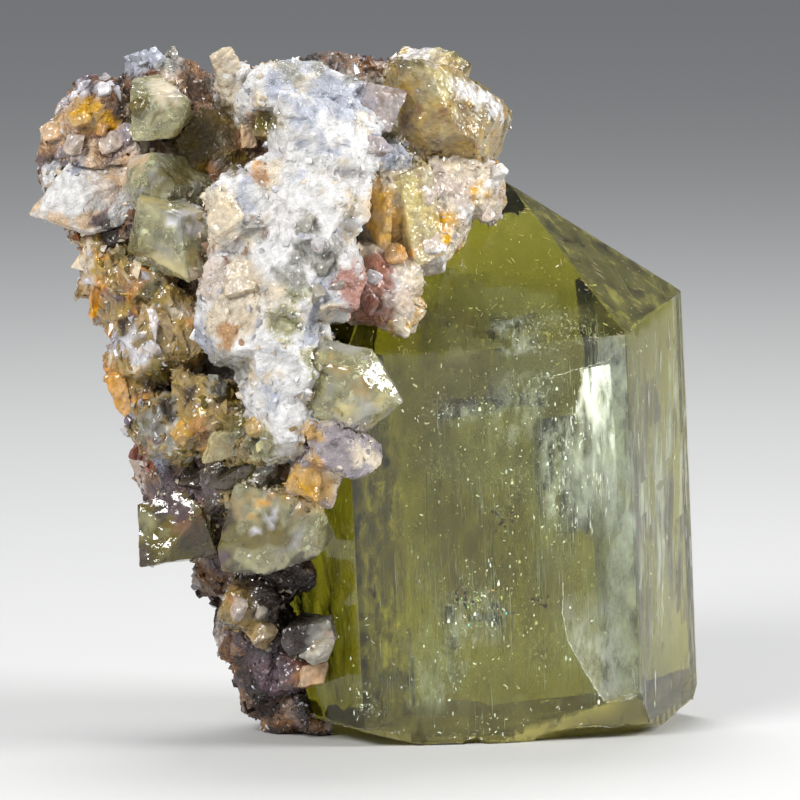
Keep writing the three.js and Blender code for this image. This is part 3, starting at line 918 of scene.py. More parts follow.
RIDGED_VEILS = [
    ((0.5, 2.4, -14), 60, 2.8, 26, 1.0, 1, MILKY),
    ((2.1, 5.2, -13), 60, 4, 26, 0.9, 1, MILKY),
    ((3.8, 8.4, -13), 60, 5.4, 25, 0.9, -1, MILKY),
    ((0.5, 1.6, -14), 60, 3.0, 28, 1.0, 0, DEEP_OLIVE),
    ((2.4, 4.4, -14), 60, 4.6, 28, 1.0, 0, DEEP_OLIVE),
    ((4.2, 7.8, -14), 60, 5.6, 28, 1.0, 0, DEEP_OLIVE),
    ((1.6, 5.4, -14), 52, 7, 24, 0.9, 2, YELLOW_OLIVE),
    ((-17.4, 1.1, -14), 0, 3.4, 30, 0.9, 0, OLIVE_STRIP),
]
CLOUDY_VEILS = [
    ((-3.2, 1.1, -9.5), 8, 3.4, 9, 0.8, 10, MILKY),
    ((-1.4, 0.7, -6), 3, 2.6, 9, 0.9, 3, MILKY),
    ((-1.6, 1.6, -13), 10, 3.4, 25, 0.7, 2, SAGE),
    ((-10, 5, -13), 20, 9, 16, 0.5, -6, OLIVE),
    ((-14, 6, -10), -12, 8, 16, 0.5, 5, OLIVE),
    ((-8, 9, -12), 5, 14, 24, 0.6, 2, OLIVE),
    ((-7.6, 7.5, -3), -20, 12, 10, 0.6, 20, OLIVE),
    ((-12.5, 2.2, -1), -10, 9, 9, 0.6, 12, BROWN_OLIVE),
    ((-8.5, 2, 2.2), -16, 8, 6, 0.8, 34, BROWN_OLIVE),
    ((-6.4, 1.3, 1.2), -6, 9, 5, 0.8, 42, YELLOW_OLIVE),
    ((-9.5, 1.6, 1.5), -8, 10, 8, 0.8, 30, OLIVE),
    ((-10.5, 3.4, 1), -12, 12, 12, 0.8, 28, OLIVE),
    ((-6.5, 1.4, -2.5), 0, 6, 4.5, 0.4, 14, SAGE),
    ((-12.4, 1.8, -15.6), 4, 7, 9, 0.55, 4, BROWN_OLIVE),
    ((-7.2, 2.2, -19.6), -6, 6, 10, 0.5, 0, BROWN_OLIVE),
    ((-9.6, 1.6, -25), 3, 11, 6, 0.6, 6, YELLOW_OLIVE),
    ((-13.8, 1.2, -6.4), -5, 5, 7, 0.5, 8, BROWN_OLIVE),
    ((-9.5, 1.8, -7.5), 6, 9, 8, 0.5, 8, PALE_GREEN),
    ((-6.6, 3.2, 0.8), -28, 7, 5, 0.4, 40, PALE_GREEN),
    ((-1.4, 3.2, -0.4), 35, 4.5, 4, 0.7, 48, YELLOW_OLIVE),
    ((-9, 4.6, 1.6), -8, 7, 5, 0.5, 46, OLIVE),
    ((-9, 4.4, 4.6), -6, 11, 7, 0.7, 42, BROWN_OLIVE),
    ((-7.6, 5.6, 5.6), 6, 11, 8, 0.6, 46, YELLOW_OLIVE),
    ((-10.4, 3.2, 3.2), -12, 8, 6, 0.6, 38, BROWN_OLIVE),
]
# Healed cracks: small wavy sheets of tiny bright drops, leaning any way.
FINGERPRINTS = [
    ((-10.6, 1.2, -4.2), 4, 8, 3, 0.6, 50, MILKY),
    ((-7.0, 1.0, -3.2), -8, 5, 4, 0.7, 20, MILKY),
    ((-5.2, 1.0, -8.2), 4, 3.4, 6, 0.8, 8, MILKY),
    ((-8.4, 1.3, -10.2), -20, 5, 6, 0.5, 30, PALE_GREEN),
    ((-12.6, 1.4, -8.4), 15, 4.5, 3, 0.7, 35, PALE_GREEN),
    ((-11.2, 1.4, -19), 10, 6, 6, 0.6, 15, MILKY),
    ((-14.4, 1.5, -22.6), -10, 5.5, 6, 0.6, 10, MILKY),
    ((-17.8, 1.2, -24.6), 0, 4, 4, 0.7, 10, MILKY),
    ((-7, 1.4, -21.6), 20, 5, 6, 0.5, 20, PALE_GREEN),
    ((-12.4, 1.2, 2.4), -10, 4, 4, 0.8, 36, MILKY),
    ((-6.6, 1.2, 0.2), 0, 6, 4, 0.6, 40, MILKY),
    ((-3, 1.2, 0.2), 20, 4.4, 4, 0.6, 46, MILKY),
    ((-9, 4, -6), 60, 6, 6, 0.8, 30, MILKY),
    ((-5, 5, -15), -50, 6, 7, 0.8, 20, MILKY),
    ((-14, 5, -15), 45, 6, 7, 0.8, 25, PALE_GREEN),
    ((2, 6, -10), 70, 4, 8, 0.7, 10, MILKY),
]
GLOWS = [
    ((-7.4, 1.1, 0.2), 0, 4, 3.4, 0.6, 32, MILKY),
    ((-7.4, 1.0, -4.6), 6, 5, 6, 0.55, 10, MILKY),
    ((-4.6, 1.0, -9.4), 0, 4, 10, 0.7, 5, MILKY),
    ((-11.6, 1.1, -4.8), -8, 3, 2, 0.6, 20, MILKY),
    ((-11.4, 1.2, -19.4), 8, 4, 5, 0.4, 12, MILKY),
    ((-14.6, 1.2, -24), 0, 4, 5, 0.45, 8, MILKY),
    ((-17.3, 0.8, -14), 0, 4, 32, 1.0, 0, LIGHT_STRIP),
    ((-17.5, 1.4, -15), 0, 4, 30, 1.0, 0, OLIVE_STRIP),
]
print("veils:", sum(map(len, (STREAKY_VEILS, RIDGED_VEILS, CLOUDY_VEILS, FINGERPRINTS, GLOWS))))

# %% [markdown]
# A veil is a grid of points, bent a little by noise, whose strength fades to nothing at ragged edges. Its
# faintest faces are left out: a ray of light gives up after a number of see-through layers and ends in
# black, so many faces that hardly show would darken what lies behind them.

# %% Hang the veils
VEIL_COLUMNS, VEIL_ROWS = 14, 26
VEIL_WAVE, VEIL_BEND = 2.5, 0.9
TATTER, TATTER_STRETCH = 0.9, (1, 1, 2.5)
FAINTEST = 0.04
SKIN_MARGIN = 0.15


def veil_points(middle, heading, width, height, tilt, seed):
    """A bent sheet's points in the crystal's own directions, and its strength at each."""
    across, up = np.meshgrid(np.linspace(-0.5, 0.5, VEIL_COLUMNS), np.linspace(-0.5, 0.5, VEIL_ROWS))
    across, up = across.ravel(), up.ravel()
    heading, tilt = math.radians(heading), math.radians(tilt)
    along = np.array((math.cos(heading), math.sin(heading), 0))
    outward = np.array((math.sin(heading), -math.cos(heading), 0))
    rise = np.array((0, 0, 1)) * math.cos(tilt) - outward * math.sin(tilt)
    local = np.array(middle) + across[:, None] * width * along + up[:, None] * height * rise
    local += outward * (soft_noise(local, VEIL_WAVE, seed) - 0.5)[:, None] * VEIL_BEND
    edge = (1 - (2 * np.abs(across)) ** 3) * (1 - (2 * np.abs(up)) ** 2)
    ragged = soft_noise(local / TATTER_STRETCH, TATTER, seed + 50)
    return local, np.clip(edge * 2.4 * (0.25 + ragged) - 0.35, 0, 1)


def add_veils(name, finish, veils, seed):
    points, faces, tints = [], [], []
    for number, (middle, heading, width, height, strength, tilt, colour) in enumerate(veils):
        local, fade = veil_points(middle, heading, width, height, tilt, seed + number)
        world = from_crystal(local)
        start = sum(len(part) for part in points)
        rows = np.arange(VEIL_COLUMNS * VEIL_ROWS).reshape(VEIL_ROWS, VEIL_COLUMNS)
        quads = np.stack([rows[:-1, :-1], rows[:-1, 1:], rows[1:, 1:], rows[1:, :-1]], -1).reshape(-1, 4)
        whole = is_inside(world, SKIN_MARGIN)[quads].all(1) & (fade[quads] > FAINTEST).any(1)
        faces.append(quads[whole] + start)
        points.append(world)
        tints.append(np.concatenate([np.tile(colour, (len(world), 1)), (fade * strength)[:, None]], 1))
    points, faces, tints = np.concatenate(points), np.concatenate(faces), np.concatenate(tints)
    used, faces = np.unique(faces, return_inverse=True)
    new_piece(name, points[used], faces.reshape(-1, 4), finish, tints[used], sharp=180)
    print(name, faces.size // 4, "faces")


add_veils("streaky_veils", streaky_veil, STREAKY_VEILS, 20)
add_veils("fingerprint_veils", fingerprint_veil, FINGERPRINTS, 320)
add_veils("glow_veils", glow_veil, GLOWS, 420)
add_veils("ridged_veils", ridged_veil, RIDGED_VEILS, 120)
add_veils("cloudy_veils", cloudy_veil, CLOUDY_VEILS, 220)

# %% [markdown]
# The crystal's skin is not perfectly clear either. Just under it lies haze: in a band along the front
# face's right edge, under the sloping right face, and dense and olive over the broken base, where many
# small cracks scatter the light. It is a copy of the crystal's own surface, moved about a tenth of a
# millimetre inward, with a strength at each point.

# %% Haze the skin
SKIN_DEPTH = 0.12
BASE_TOP = 3.5
BASE_TINT = (0.46, 0.41, 0.1)


def haze_strength(points, normals):
    local = to_crystal(points)
    across, up = local[:, 0], local[:, 2]
    facing_front, facing_right = -(normals @ CRYSTAL_TURNS[:, 1]), normals @ CRYSTAL_TURNS[:, 0]
    on_front = ramp(facing_front, 0.8, 0.95)
    band = ramp(across, -2.2, -1.7) * 0.6 + ramp(across, -7, -3) * 0.08
    low = ramp(-up, 20, 27) * 0.2
    strength = 0.02 + on_front * (band + low)
    strength += ramp(facing_right, 0.5, 0.8) * 0.08 + ramp(-facing_front, 0, 0.5) * 0.1
    pyramid = ramp(normals @ CRYSTAL_TURNS[:, 2], 0.3, 0.6)
    strength = strength * (1 - pyramid) + pyramid * (0.06 + 0.6 * ramp(facing_right, 0.35, 0.6))
    broken = ramp(3 - points[:, 2], 0, 1.2) * ramp(-normals[:, 2], 0.2, 0.5)
    strength = np.maximum(strength, 4 * broken)
    clouds = soft_noise(local / (1.4, 1.4, 4), 1, 71) + 0.5 * soft_noise(local / (0.5, 0.5, 1.6), 1, 72)
    return np.clip(strength * (0.25 + clouds), 0, 1)


def haze_colour(points, normals):
    milk = ramp(soft_noise(points, 3, 73), 0.3, 0.8)[:, None]
    tints = np.array(SAGE) * (1 - milk) + np.array(MILKY) * milk
    pyramid = ramp(normals @ CRYSTAL_TURNS[:, 2], 0.3, 0.6)[:, None]
    tints = tints * (1 - pyramid) + np.array(YELLOW_OLIVE) * 1.3 * pyramid
    base = ramp(4 - points[:, 2], 0, 1.2)[:, None]
    return tints * (1 - base) + np.array(BASE_TINT) * (0.6 + 0.8 * milk) * base


def add_skin_haze():
    _, triangles = mesh_arrays(crystal_mesh)
    normals = merged_normals(crystal_skin, triangles)
    inner = crystal_skin - normals * SKIN_DEPTH
    strength = haze_strength(crystal_skin, normals)
    tints = np.concatenate([haze_colour(crystal_skin, normals), strength[:, None]], 1)
    kept = (inner[:, 2] > 0.05)[triangles].all(1) & (strength > FAINTEST)[triangles].any(1)
    low = (crystal_skin[:, 2] < BASE_TOP)[triangles].all(1)
    hazes = (("skin_haze", cloudy_veil, kept & ~low), ("base_haze", base_veil, kept & low))
    for name, finish, chosen in hazes:
        used, faces = np.unique(triangles[chosen], return_inverse=True)
        new_piece(name, inner[used], faces.reshape(-1, 3), finish, tints[used], sharp=180)
        print(name, chosen.sum(), "triangles")


add_skin_haze()

# %% [markdown]
# Two breaks inside glow with painted reflections of the lamps: the mirror-like crack under the right
# shoulder, brightly, and a shell-shaped chip at the lower right, faintly. Each is a sheet stretched
# between a left and a right curve, and noise along the crystal streaks it. A sheet follows a crack's
# outline better than a flat plate would.

# %% Stretch the crack sheets
CHIP_RIM = [
    (-5.1, 0.25, -17.4), (-5.2, 0.2, -19.6), (-4.9, 0.2, -21.6), (-3.9, 0.2, -23.6), (-3.1, 0.2, -25.2),
    (-2.5, 0.2, -26.1), (-1.2, 0.2, -26.1), (0, 0.2, -25.8),
]
CHIP_LEFT = CHIP_RIM[:-2]
CHIP_RIGHT = [(-0.2, 0.3, -17), (-0.2, 0.3, -20), (0, 0.3, -23), (0.2, 0.3, -25.6)]
CRACK_LEFT = [(-3.4, 0.3, -2.45), (-3.7, 0.3, -4), (-4.6, 0.3, -8), (-5.2, 0.3, -14)]
CRACK_RIGHT = [(-1.15, 0.3, -2.1), (-1.05, 0.3, -6), (-1, 0.3, -10), (-1.2, 0.3, -14.5)]
SHEET_ROWS, SHEET_COLUMNS = 60, 22
SHEET_TINT = (0.93, 0.98, 0.95)


def rows_along(corners):
    """A curve cut into as many even rows as a sheet has."""
    stops, rows = np.linspace(0, 1, len(corners)), np.linspace(0, 1, SHEET_ROWS)
    return np.stack([np.interp(rows, stops, values) for values in np.array(corners, dtype=float).T], 1)


def add_sheet(name, left, right, depth, strength, finish, seed):
    """A sheet between a left and a right curve, whose corners are given across, back and up."""
    left, right = rows_along(left), rows_along(right)
    u, v = np.meshgrid(np.linspace(0, 1, SHEET_COLUMNS), np.linspace(0, 1, SHEET_ROWS))
    local = left[:, None] * (1 - u[..., None]) + right[:, None] * u[..., None]
    local, u, v = local.reshape(-1, 3), u.ravel(), v.ravel()
    local[:, 1] += depth * (1 - u) + 0.3 * soft_noise(local, 1.5, seed)
    strokes = soft_noise(local / (0.25, 1, 1.3), 1, seed + 1)
    fade = np.clip(strength(u, v, strokes), 0, 1)[:, None]
    rows = np.arange(len(u)).reshape(SHEET_ROWS, SHEET_COLUMNS)
    quads = np.stack([rows[:-1, :-1], rows[1:, :-1], rows[1:, 1:], rows[:-1, 1:]], -1).reshape(-1, 4)
    tints = np.concatenate([np.tile(SHEET_TINT, (len(u), 1)), fade], 1)
    new_piece(name, from_crystal(local), quads, finish, tints, sharp=180)


def fracture_strength(u, v, strokes):
    body = (1 - v) ** 1.1 * ramp(u + 0.9 * (strokes - 0.5), 0.1, 0.8) * (0.3 + 1.4 * strokes)
    return body + 1.4 * ramp(0.5 - v, 0, 0.25) * ramp(u + 0.7 * (strokes - 0.5), 0.15, 0.55)


def chip_strength(u, v, strokes):
    return (0.75 - 0.45 * u) * ramp(v, 0.05, 0.4) * (0.5 + 0.8 * strokes) * ramp(1 - u, 0, 0.12)


# Painted reflection: the crack sheet glows in its own light, and the chip sheet faintly.
add_sheet("bright_fracture", CRACK_LEFT, CRACK_RIGHT, 0.5, fracture_strength, bright_veil, 91)
add_sheet("shell_chip", CHIP_LEFT, CHIP_RIGHT, 0.2, chip_strength, chip_veil, 93)
print("sheets of", SHEET_ROWS, "by", SHEET_COLUMNS, "points")

# %% [markdown]
# The breaks have bright rims, which are runs of fine needles along a curve. Short strokes thicken the
# crack under the shoulder, most of them near its top. They nearly follow the crystal's length, because
# the crack runs along it in small steps. Rims and strokes glow: they are painted highlights.

# %% Brighten the cracks
CRACK_TOP = [(-5.2, 0.5, -2.7), (-3.4, 0.45, -2.3), (-1.4, 0.4, -1.9), (-0.5, 0.35, -1.2), (0.2, 0.35, -0.6)]
RIM_STEP = 0.25
RIM_WIDTHS = (0.01, 0.035)
RIM_TINT = (0.93, 0.97, 0.92)
CRACK_STROKES = 150
STROKE_WIDTHS, STROKE_THICKNESS, STROKE_LENGTHS = (0.02, 0.08), 0.02, (0.15, 1)
STROKE_TURN = 0.06  # how much of a stroke's direction is left to chance


def along_curve(corners, step):
    corners = np.array(corners, dtype=float)
    lengths = np.linalg.norm(np.diff(corners, axis=0), axis=1)
    travelled = np.concatenate([[0], lengths.cumsum()])
    stops = np.arange(0, travelled[-1], step)
    return np.stack([np.interp(stops, travelled, corners[:, i]) for i in range(3)], 1)


def rim_needles(draw):
    spots, ways = [], []
    for curve in (CRACK_TOP, CHIP_RIM):
        stops = along_curve(curve, RIM_STEP)
        spots.append(stops[:-1] + draw.normal(size=(len(stops) - 1, 3)) * (0.03, 0, 0.03))
        ways.append(np.diff(stops, axis=0))
    spots, ways = from_crystal(np.concatenate(spots)), np.concatenate(ways) @ CRYSTAL_TURNS.T
    count = len(spots)
    rotations = facing(ways / np.linalg.norm(ways, axis=1, keepdims=True), draw)
    width, length = draw.uniform(*RIM_WIDTHS, count), np.full(count, RIM_STEP * 1.4)
    return joined_copies(NEEDLE, spots, rotations, np.stack([width, width, length], 1), np.zeros(count, int))


def crack_strokes(draw):
    count = CRACK_STROKES
    down = draw.uniform(size=count) ** 1.3
    across = -1.3 - (2.2 + 2.4 * down) * draw.uniform(size=count) ** 1.2
    back = 0.3 + 1.2 * draw.uniform(size=count)
    places = from_crystal(np.stack([across, back, -2.6 - 11.5 * down], 1))
    tilt = turns(draw.uniform(size=(count, 3)))
    width, length = draw.uniform(*STROKE_WIDTHS, count), draw.uniform(*STROKE_LENGTHS, count)
    scales = np.stack([width, np.full(count, STROKE_THICKNESS), length], 1)
    nearly_upright = CRYSTAL_TURNS[None] @ (np.eye(3) * (1 - STROKE_TURN) + tilt * STROKE_TURN)
    return joined_copies(SHARDS, places, nearly_upright, scales, draw.integers(0, 2, count))


def add_bright_cracks():
    draw = np.random.default_rng(14)
    rim, rim_faces, _ = rim_needles(draw)
    strokes, stroke_faces, _ = crack_strokes(draw)
    points = np.concatenate([rim, strokes])
    faces = np.concatenate([rim_faces, stroke_faces + len(rim)])
    new_piece("bright_cracks", points, faces, soft_sparks, np.tile(RIM_TINT, (len(points), 1)))
    print("needles and strokes:", len(faces), "triangles")


add_bright_cracks()

# %% [markdown]
# The matrix is a mixture of few minerals in many places: white and bluish quartz, glassy yellow-green
# apatite, iron stains from orange to brown, and dark purple rock. Each mineral is a colour and a
# clearness. Naming them keeps a stain the same wherever it turns up.

# %% Name the minerals
def paint(red, green, blue, clearness):
    """A colour read off a screen, as light strengths, and how much light goes through."""
    return np.array([(value / 255) ** 2.2 for value in (red, green, blue)] + [clearness])


MINERALS = {
    "blue_druse": paint(172, 176, 188, 0.25),
    "white_quartz": paint(208, 206, 204, 0.12),
    "cream_quartz": paint(210, 196, 172, 0.2),
    "grey_glass": paint(172, 170, 160, 0.5),
    "lilac_quartz": paint(162, 152, 156, 0.35),
    "pink_quartz": paint(212, 196, 182, 0.3),
    "pale_yellow": paint(198, 184, 132, 0.4),
    "honey_glass": paint(204, 162, 88, 0.3),
    "iron_orange": paint(190, 144, 96, 0.35),
    "bright_orange": paint(208, 152, 74, 0.2),
    "iron_brown": paint(124, 94, 70, 0.15),
    "rust_red": paint(134, 84, 68, 0.1),
    "rust_pink": paint(152, 106, 90, 0.15),
    "peach_quartz": paint(218, 186, 150, 0.3),
    "olive_glass": paint(120, 108, 58, 0.45),
    "gold_glass": paint(184, 158, 104, 0.5),
    "green_glass": paint(224, 220, 172, 0.82),
    "smoky_glass": paint(104, 94, 80, 0.55),
    # Brown stain darkened by painted shade, as the deep hollow lies in shadow.
    "hollow_brown_and_shade": paint(96, 80, 40, 0.2),
    # Dark rock, and also the colour of painted shadow on the foot.
    "dark_rock_and_shade": paint(42, 33, 29, 0.0),
    "purple_rock": paint(88, 72, 78, 0.1),
    # Not a mineral: a painted glint, the pale colour where light flashes off a facet.
    "silver_painted_glint": paint(214, 212, 218, 0.3),
    "blue_grey": paint(140, 144, 160, 0.2),
}
print("minerals:", len(MINERALS))

# %% [markdown]
# Each patch says where a mineral shows, as the camera sees it. A patch is a slanting column through the
# specimen, so the back carries the same stains without repeating the front exactly. Later patches lie
# over earlier ones.

# %% List where the minerals show
# Millimetres across and up, and the patch's radius.
PATCHES = {
    "white_quartz": [
        (1.6, 38.7, 0.8), (-0.6, 37.0, 0.7), (-2.4, 33.4, 0.7), (-5.2, 31.4, 0.8), (-7.6, 30.6, 0.5),
        (-2.6, 46.6, 0.6), (-1.4, 45.9, 0.6), (-0.3, 45.2, 0.7), (0.9, 44.5, 0.7), (1.9, 43.8, 0.6),
        (-3.6, 48.4, 0.9), (-28.6, 39.2, 0.9), (-26.8, 38.0, 1.2), (-4.4, 47.8, 0.6),
    ],
    "cream_quartz": [
        (-29.8, 42.6, 0.8), (-17.2, 36.8, 1.5), (-20.0, 22.0, 0.6), (-20.9, 44.7, 1.1), (-15.5, 31.1, 2.0),
        (-26.5, 33.7, 0.8), (-16.4, 29.0, 1.7), (-17.6, 34.6, 0.8), (-19.3, 47.9, 0.4),
    ],
    "iron_orange": [
        (-27.4, 43.1, 1.0), (-28.8, 43.8, 0.6), (-24.4, 24.1, 0.8), (-24.8, 26.0, 0.8), (-14.8, 42.8, 0.6),
        (-16.4, 27.9, 0.8), (-16.5, 9.7, 0.7), (-10.6, 19.6, 0.6), (-25.8, 30.0, 0.6), (-9.8, 18.3, 0.4),
        (-18.4, 21.8, 0.8), (-14.4, 39.3, 0.6),
    ],
    "iron_brown": [
        (-4.5, 42.9, 0.7), (-3.6, 43.9, 0.4), (-4.9, 45.0, 0.4), (-3.4, 45.6, 0.3), (-2.0, 43.4, 0.4),
        (-1.2, 42.8, 0.3), (-4.0, 41.6, 0.5), (-2.6, 41.2, 0.3), (0.2, 41.2, 0.3), (-2.4, 44.6, 0.3),
        (-26.0, 42.1, 0.8), (-25.3, 40.5, 0.7), (-18.6, 47.0, 1.1), (-17.9, 34.3, 0.4), (-18.5, 33.6, 0.3),
        (-15.3, 33.6, 0.3), (-14.0, 35.3, 0.3), (-15.9, 34.3, 0.3), (-19.6, 15.1, 0.9), (-19.0, 45.2, 0.6),
        (-9.8, 45.4, 0.6), (-24.6, 39.1, 0.6), (-14.6, 36.3, 0.3), (-16.7, 33.0, 0.4),
    ],
    "rust_red": [
        (-22.8, 20.4, 0.6), (-11.9, 5.6, 0.6), (-25.2, 37.1, 0.3), (-26.7, 34.6, 0.4), (-22.3, 19.2, 0.4),
        (-25.5, 31.1, 0.4),
    ],
    "rust_pink": [(-7.2, 30.4, 1.8), (-8.4, 31.8, 1.2), (-5.9, 31.9, 1.0), (-6.2, 32.9, 0.8)],
    "peach_quartz": [
        (-30.1, 37.2, 1.1), (-26.0, 36.4, 0.8), (-28.2, 35.9, 0.9), (-28.8, 42.4, 1.3), (-26.2, 40.6, 1.1),
        (-24.2, 39.2, 0.9), (-22.9, 40.2, 0.7),
    ],
    "pale_yellow": [
        (-8.6, 23.4, 0.7), (-6.6, 23.9, 0.6), (-4.1, 37.1, 1.0), (-4.3, 38.6, 0.8), (-3.6, 35.6, 0.8),
        (-2.4, 45.6, 1.4), (-14.4, 42.6, 0.7),
    ],
    "honey_glass": [
        (-26.3, 43.6, 1.0), (-24.7, 42.8, 0.7), (-6.0, 37.3, 1.0), (-5.8, 35.9, 1.1), (-5.2, 34.4, 0.8),
        (-2.4, 36.0, 0.6), (-11.0, 21.6, 0.8), (-11.2, 17.9, 1.7),
    ],
    "bright_orange": [
        (-24.7, 42.8, 0.3), (-25.1, 33.5, 0.5), (-25.3, 31.8, 0.4), (-18.1, 20.4, 0.5), (-14.6, 39.8, 0.3),
        (-22.4, 24.2, 0.4), (-11.1, 18.5, 0.4), (-14.2, 16.9, 0.4), (-13.5, 17.4, 0.35), (-14.9, 16.2, 0.35),
    ],
    "blue_druse": [
        (-23.5, 47.2, 1.1), (-21.7, 47.5, 0.9), (-8.8, 44.4, 1.7), (-6.9, 44.2, 0.7), (-10.2, 45.1, 1.3),
        (-5.3, 40.5, 1.0),
    ],
    "lilac_quartz": [
        (-23.9, 41.9, 0.7), (-27.9, 41.0, 0.6), (-8.8, 21.3, 1.3), (-7.1, 21.6, 0.8), (-24.9, 27.9, 0.7),
        (-15.5, 43.8, 0.4),
    ],
    "pink_quartz": [
        (-22.8, 41.0, 0.8), (-24.5, 38.1, 0.7), (-17.9, 32.1, 1.3), (-26.3, 32.3, 0.7), (-2.8, 38.8, 1.3),
        (-1.1, 38.1, 1.0), (-25.9, 29.0, 0.4),
    ],
    # Painted glints: pale spots where light flashes off facets.
    "silver_painted_glint": [
        (-13.4, 15.8, 0.4), (-14.4, 15.0, 0.3), (-19.3, 36.6, 0.6), (-18.3, 35.6, 0.5), (-20.2, 36.0, 0.4),
        (-28.7, 44.7, 0.7), (-26.9, 45.6, 0.6), (-23.2, 27.9, 0.8), (-25.1, 45.2, 0.4), (-24.1, 27.7, 0.6),
        (-22.4, 26.7, 0.6), (-14.6, 5.9, 0.4),
    ],
    "blue_grey": [
        (-27.0, 39.8, 0.5), (-22.3, 27.9, 0.3), (-21.4, 19.7, 0.6), (-23.8, 22.4, 0.4), (-14.6, 6.6, 0.5),
    ],
    "green_glass": [
        (-12.6, 29.0, 1.0), (-11.1, 26.7, 0.7), (-10.2, 25.8, 0.7), (-13.9, 20.9, 1.1), (-11.9, 31.1, 0.8),
    ],
    "grey_glass": [
        (-12.4, 46.4, 0.8), (-10.4, 46.8, 0.6), (-8.2, 46.2, 0.7), (-9.8, 33.2, 0.9), (-10.8, 35.4, 0.9),
        (-12.0, 32.3, 1.0), (-17.2, 26.5, 0.9), (-15.8, 25.8, 0.8), (-17.5, 24.9, 0.6), (-15.0, 35.3, 0.8),
        (-20.4, 47.0, 0.6), (-11.2, 33.7, 0.6),
    ],
    "olive_glass": [
        (-23.0, 34.0, 0.9), (-21.4, 25.8, 0.8), (-13.9, 42.8, 0.8), (-16.1, 22.3, 1.0), (-20.3, 39.2, 1.1),
        (-21.7, 31.1, 0.6), (-15.0, 19.2, 0.6),
    ],
    "gold_glass": [
        (-7.6, 25.0, 0.7), (-9.0, 26.2, 0.6), (-16.4, 16.6, 0.7), (-15.3, 17.4, 0.7), (-3.2, 42.6, 1.2),
        (-1.2, 41.6, 1.0), (0.6, 42.4, 0.9),
        (-21.0, 27.9, 1.0), (-19.9, 27.7, 0.8), (-19.6, 21.3, 0.7), (-21.0, 29.8, 0.6), (-19.7, 26.0, 0.6),
        (-28.6, 43.1, 0.5),
    ],
    # Painted shade: the hollow is as dark brown as the shadow in it.
    "hollow_brown_and_shade": [
        (-18.9, 41.6, 1.5), (-17.2, 42.3, 1.5), (-16.1, 40.3, 1.0), (-18.5, 40.0, 1.0), (-16.9, 44.0, 0.7),
        (-21.7, 43.0, 0.4),
    ],
    # The large patches low on the foot are painted shadow, where the foot lies in shade under the large
    # crystal; the others are dark rock.
    "dark_rock_and_shade": [
        (-13.0, 10.2, 2.4), (-12.6, 7.4, 1.6), (-14.4, 2.8, 1.1), (-15.4, 11.6, 1.2), (-17.2, 16.0, 0.8),
        (-20.6, 23.4, 0.7), (-19.2, 24.4, 0.6), (-22.4, 46.1, 0.4), (-16.8, 13.2, 0.7), (-13.0, 10.6, 1.7),
        (-11.9, 7.3, 1.0), (-14.6, 3.1, 0.7), (-23.5, 29.0, 0.6), (-25.9, 45.4, 0.6), (-23.1, 35.8, 0.6),
        (-16.7, 18.1, 0.6), (-11.5, 12.9, 1.0), (-24.6, 35.8, 0.7),
    ],
    "purple_rock": [
        (-14.0, 5.4, 1.6), (-18.6, 17.6, 1.0), (-20.4, 18.4, 0.9),
        (-26.3, 46.2, 0.7), (-24.2, 30.9, 0.6), (-22.7, 29.5, 0.4), (-21.6, 17.4, 1.0), (-20.0, 16.2, 0.8),
        (-17.4, 12.9, 0.8), (-13.2, 4.5, 1.5), (-21.7, 21.3, 0.6), (-25.3, 36.3, 0.6), (-18.5, 31.1, 0.3),
        (-16.2, 7.3, 0.6),
    ],
}
print(sum(len(spots) for spots in PATCHES.values()), "patches")

# %% [markdown]
# Painting works point by point. A piece starts in its first mineral, noise lets its others through, and
# the patches lie over them. The edges of a patch waver at two sizes, or the patches would look round.

# %% Paint points with minerals
VIEW_DROP = 0.105  # how far down, for each millimetre away from the viewer, the raised camera sees a point
PATCH_DEPTH = -10  # where the patches were measured
BROAD_SPOTS, FINE_SPOTS = 1.9, 0.6
SPOT_START, SPOT_EDGE = 0.85, 6  # the noise at which a spot begins, and how fast it gets full
WAVERS = (1.2, 1.1, 0.45, 0.4)  # the lengths of the waves across, up, across and up
BROAD_WAVER, FINE_WAVER = 1.2, 0.9  # how far they move an edge
PATCH_COVER = 0.92
PATCH_REACH, PATCH_EDGE = 1.15, 0.35  # shares of the radius
SPECKLE = 0.3


def seen_at(points):
    """Millimetres across and up, in the plane of the patches, where the camera sees each point."""
    return np.stack([points[:, 0], points[:, 2] + VIEW_DROP * (points[:, 1] - PATCH_DEPTH)], 1)


def painted(points, minerals, seed):
    """Colour and clearness at each point: the piece's own minerals, then the patches over them."""
    colour = np.tile(MINERALS[minerals[0]], (len(points), 1))
    for number, mineral in enumerate(minerals[1:]):
        noise = soft_noise(points, BROAD_SPOTS, seed + number)
        noise = noise + 0.5 * soft_noise(points, FINE_SPOTS, seed + 20 + number)
        share = np.clip((noise - SPOT_START) * SPOT_EDGE, 0, 1)[:, None]
        colour = colour * (1 - share) + MINERALS[mineral] * share
    seen = seen_at(points)
    ragged = [soft_noise(points, size, seed + 40 + i) - 0.5 for i, size in enumerate(WAVERS)]
    seen[:, 0] += BROAD_WAVER * ragged[0] + FINE_WAVER * ragged[2]
    seen[:, 1] += BROAD_WAVER * ragged[1] + FINE_WAVER * ragged[3]
    for mineral, spots in PATCHES.items():
        for across, up, radius in spots:
            away = np.hypot(seen[:, 0] - across, seen[:, 1] - up)
            full = np.clip((PATCH_REACH * radius - away) / (PATCH_EDGE * radius), 0, 1)
            share = (PATCH_COVER * full)[:, None]
            colour = colour * (1 - share) + MINERALS[mineral] * share
    light = 0.72 + 0.56 * soft_noise(points, SPECKLE, seed + 60)
    colour[:, :3] *= light[:, None]
    return np.clip(colour, 0, 0.95)


print("the origin is painted", painted(np.zeros((1, 3)), ["dark_rock_and_shade"], 0).round(3)[0].tolist())

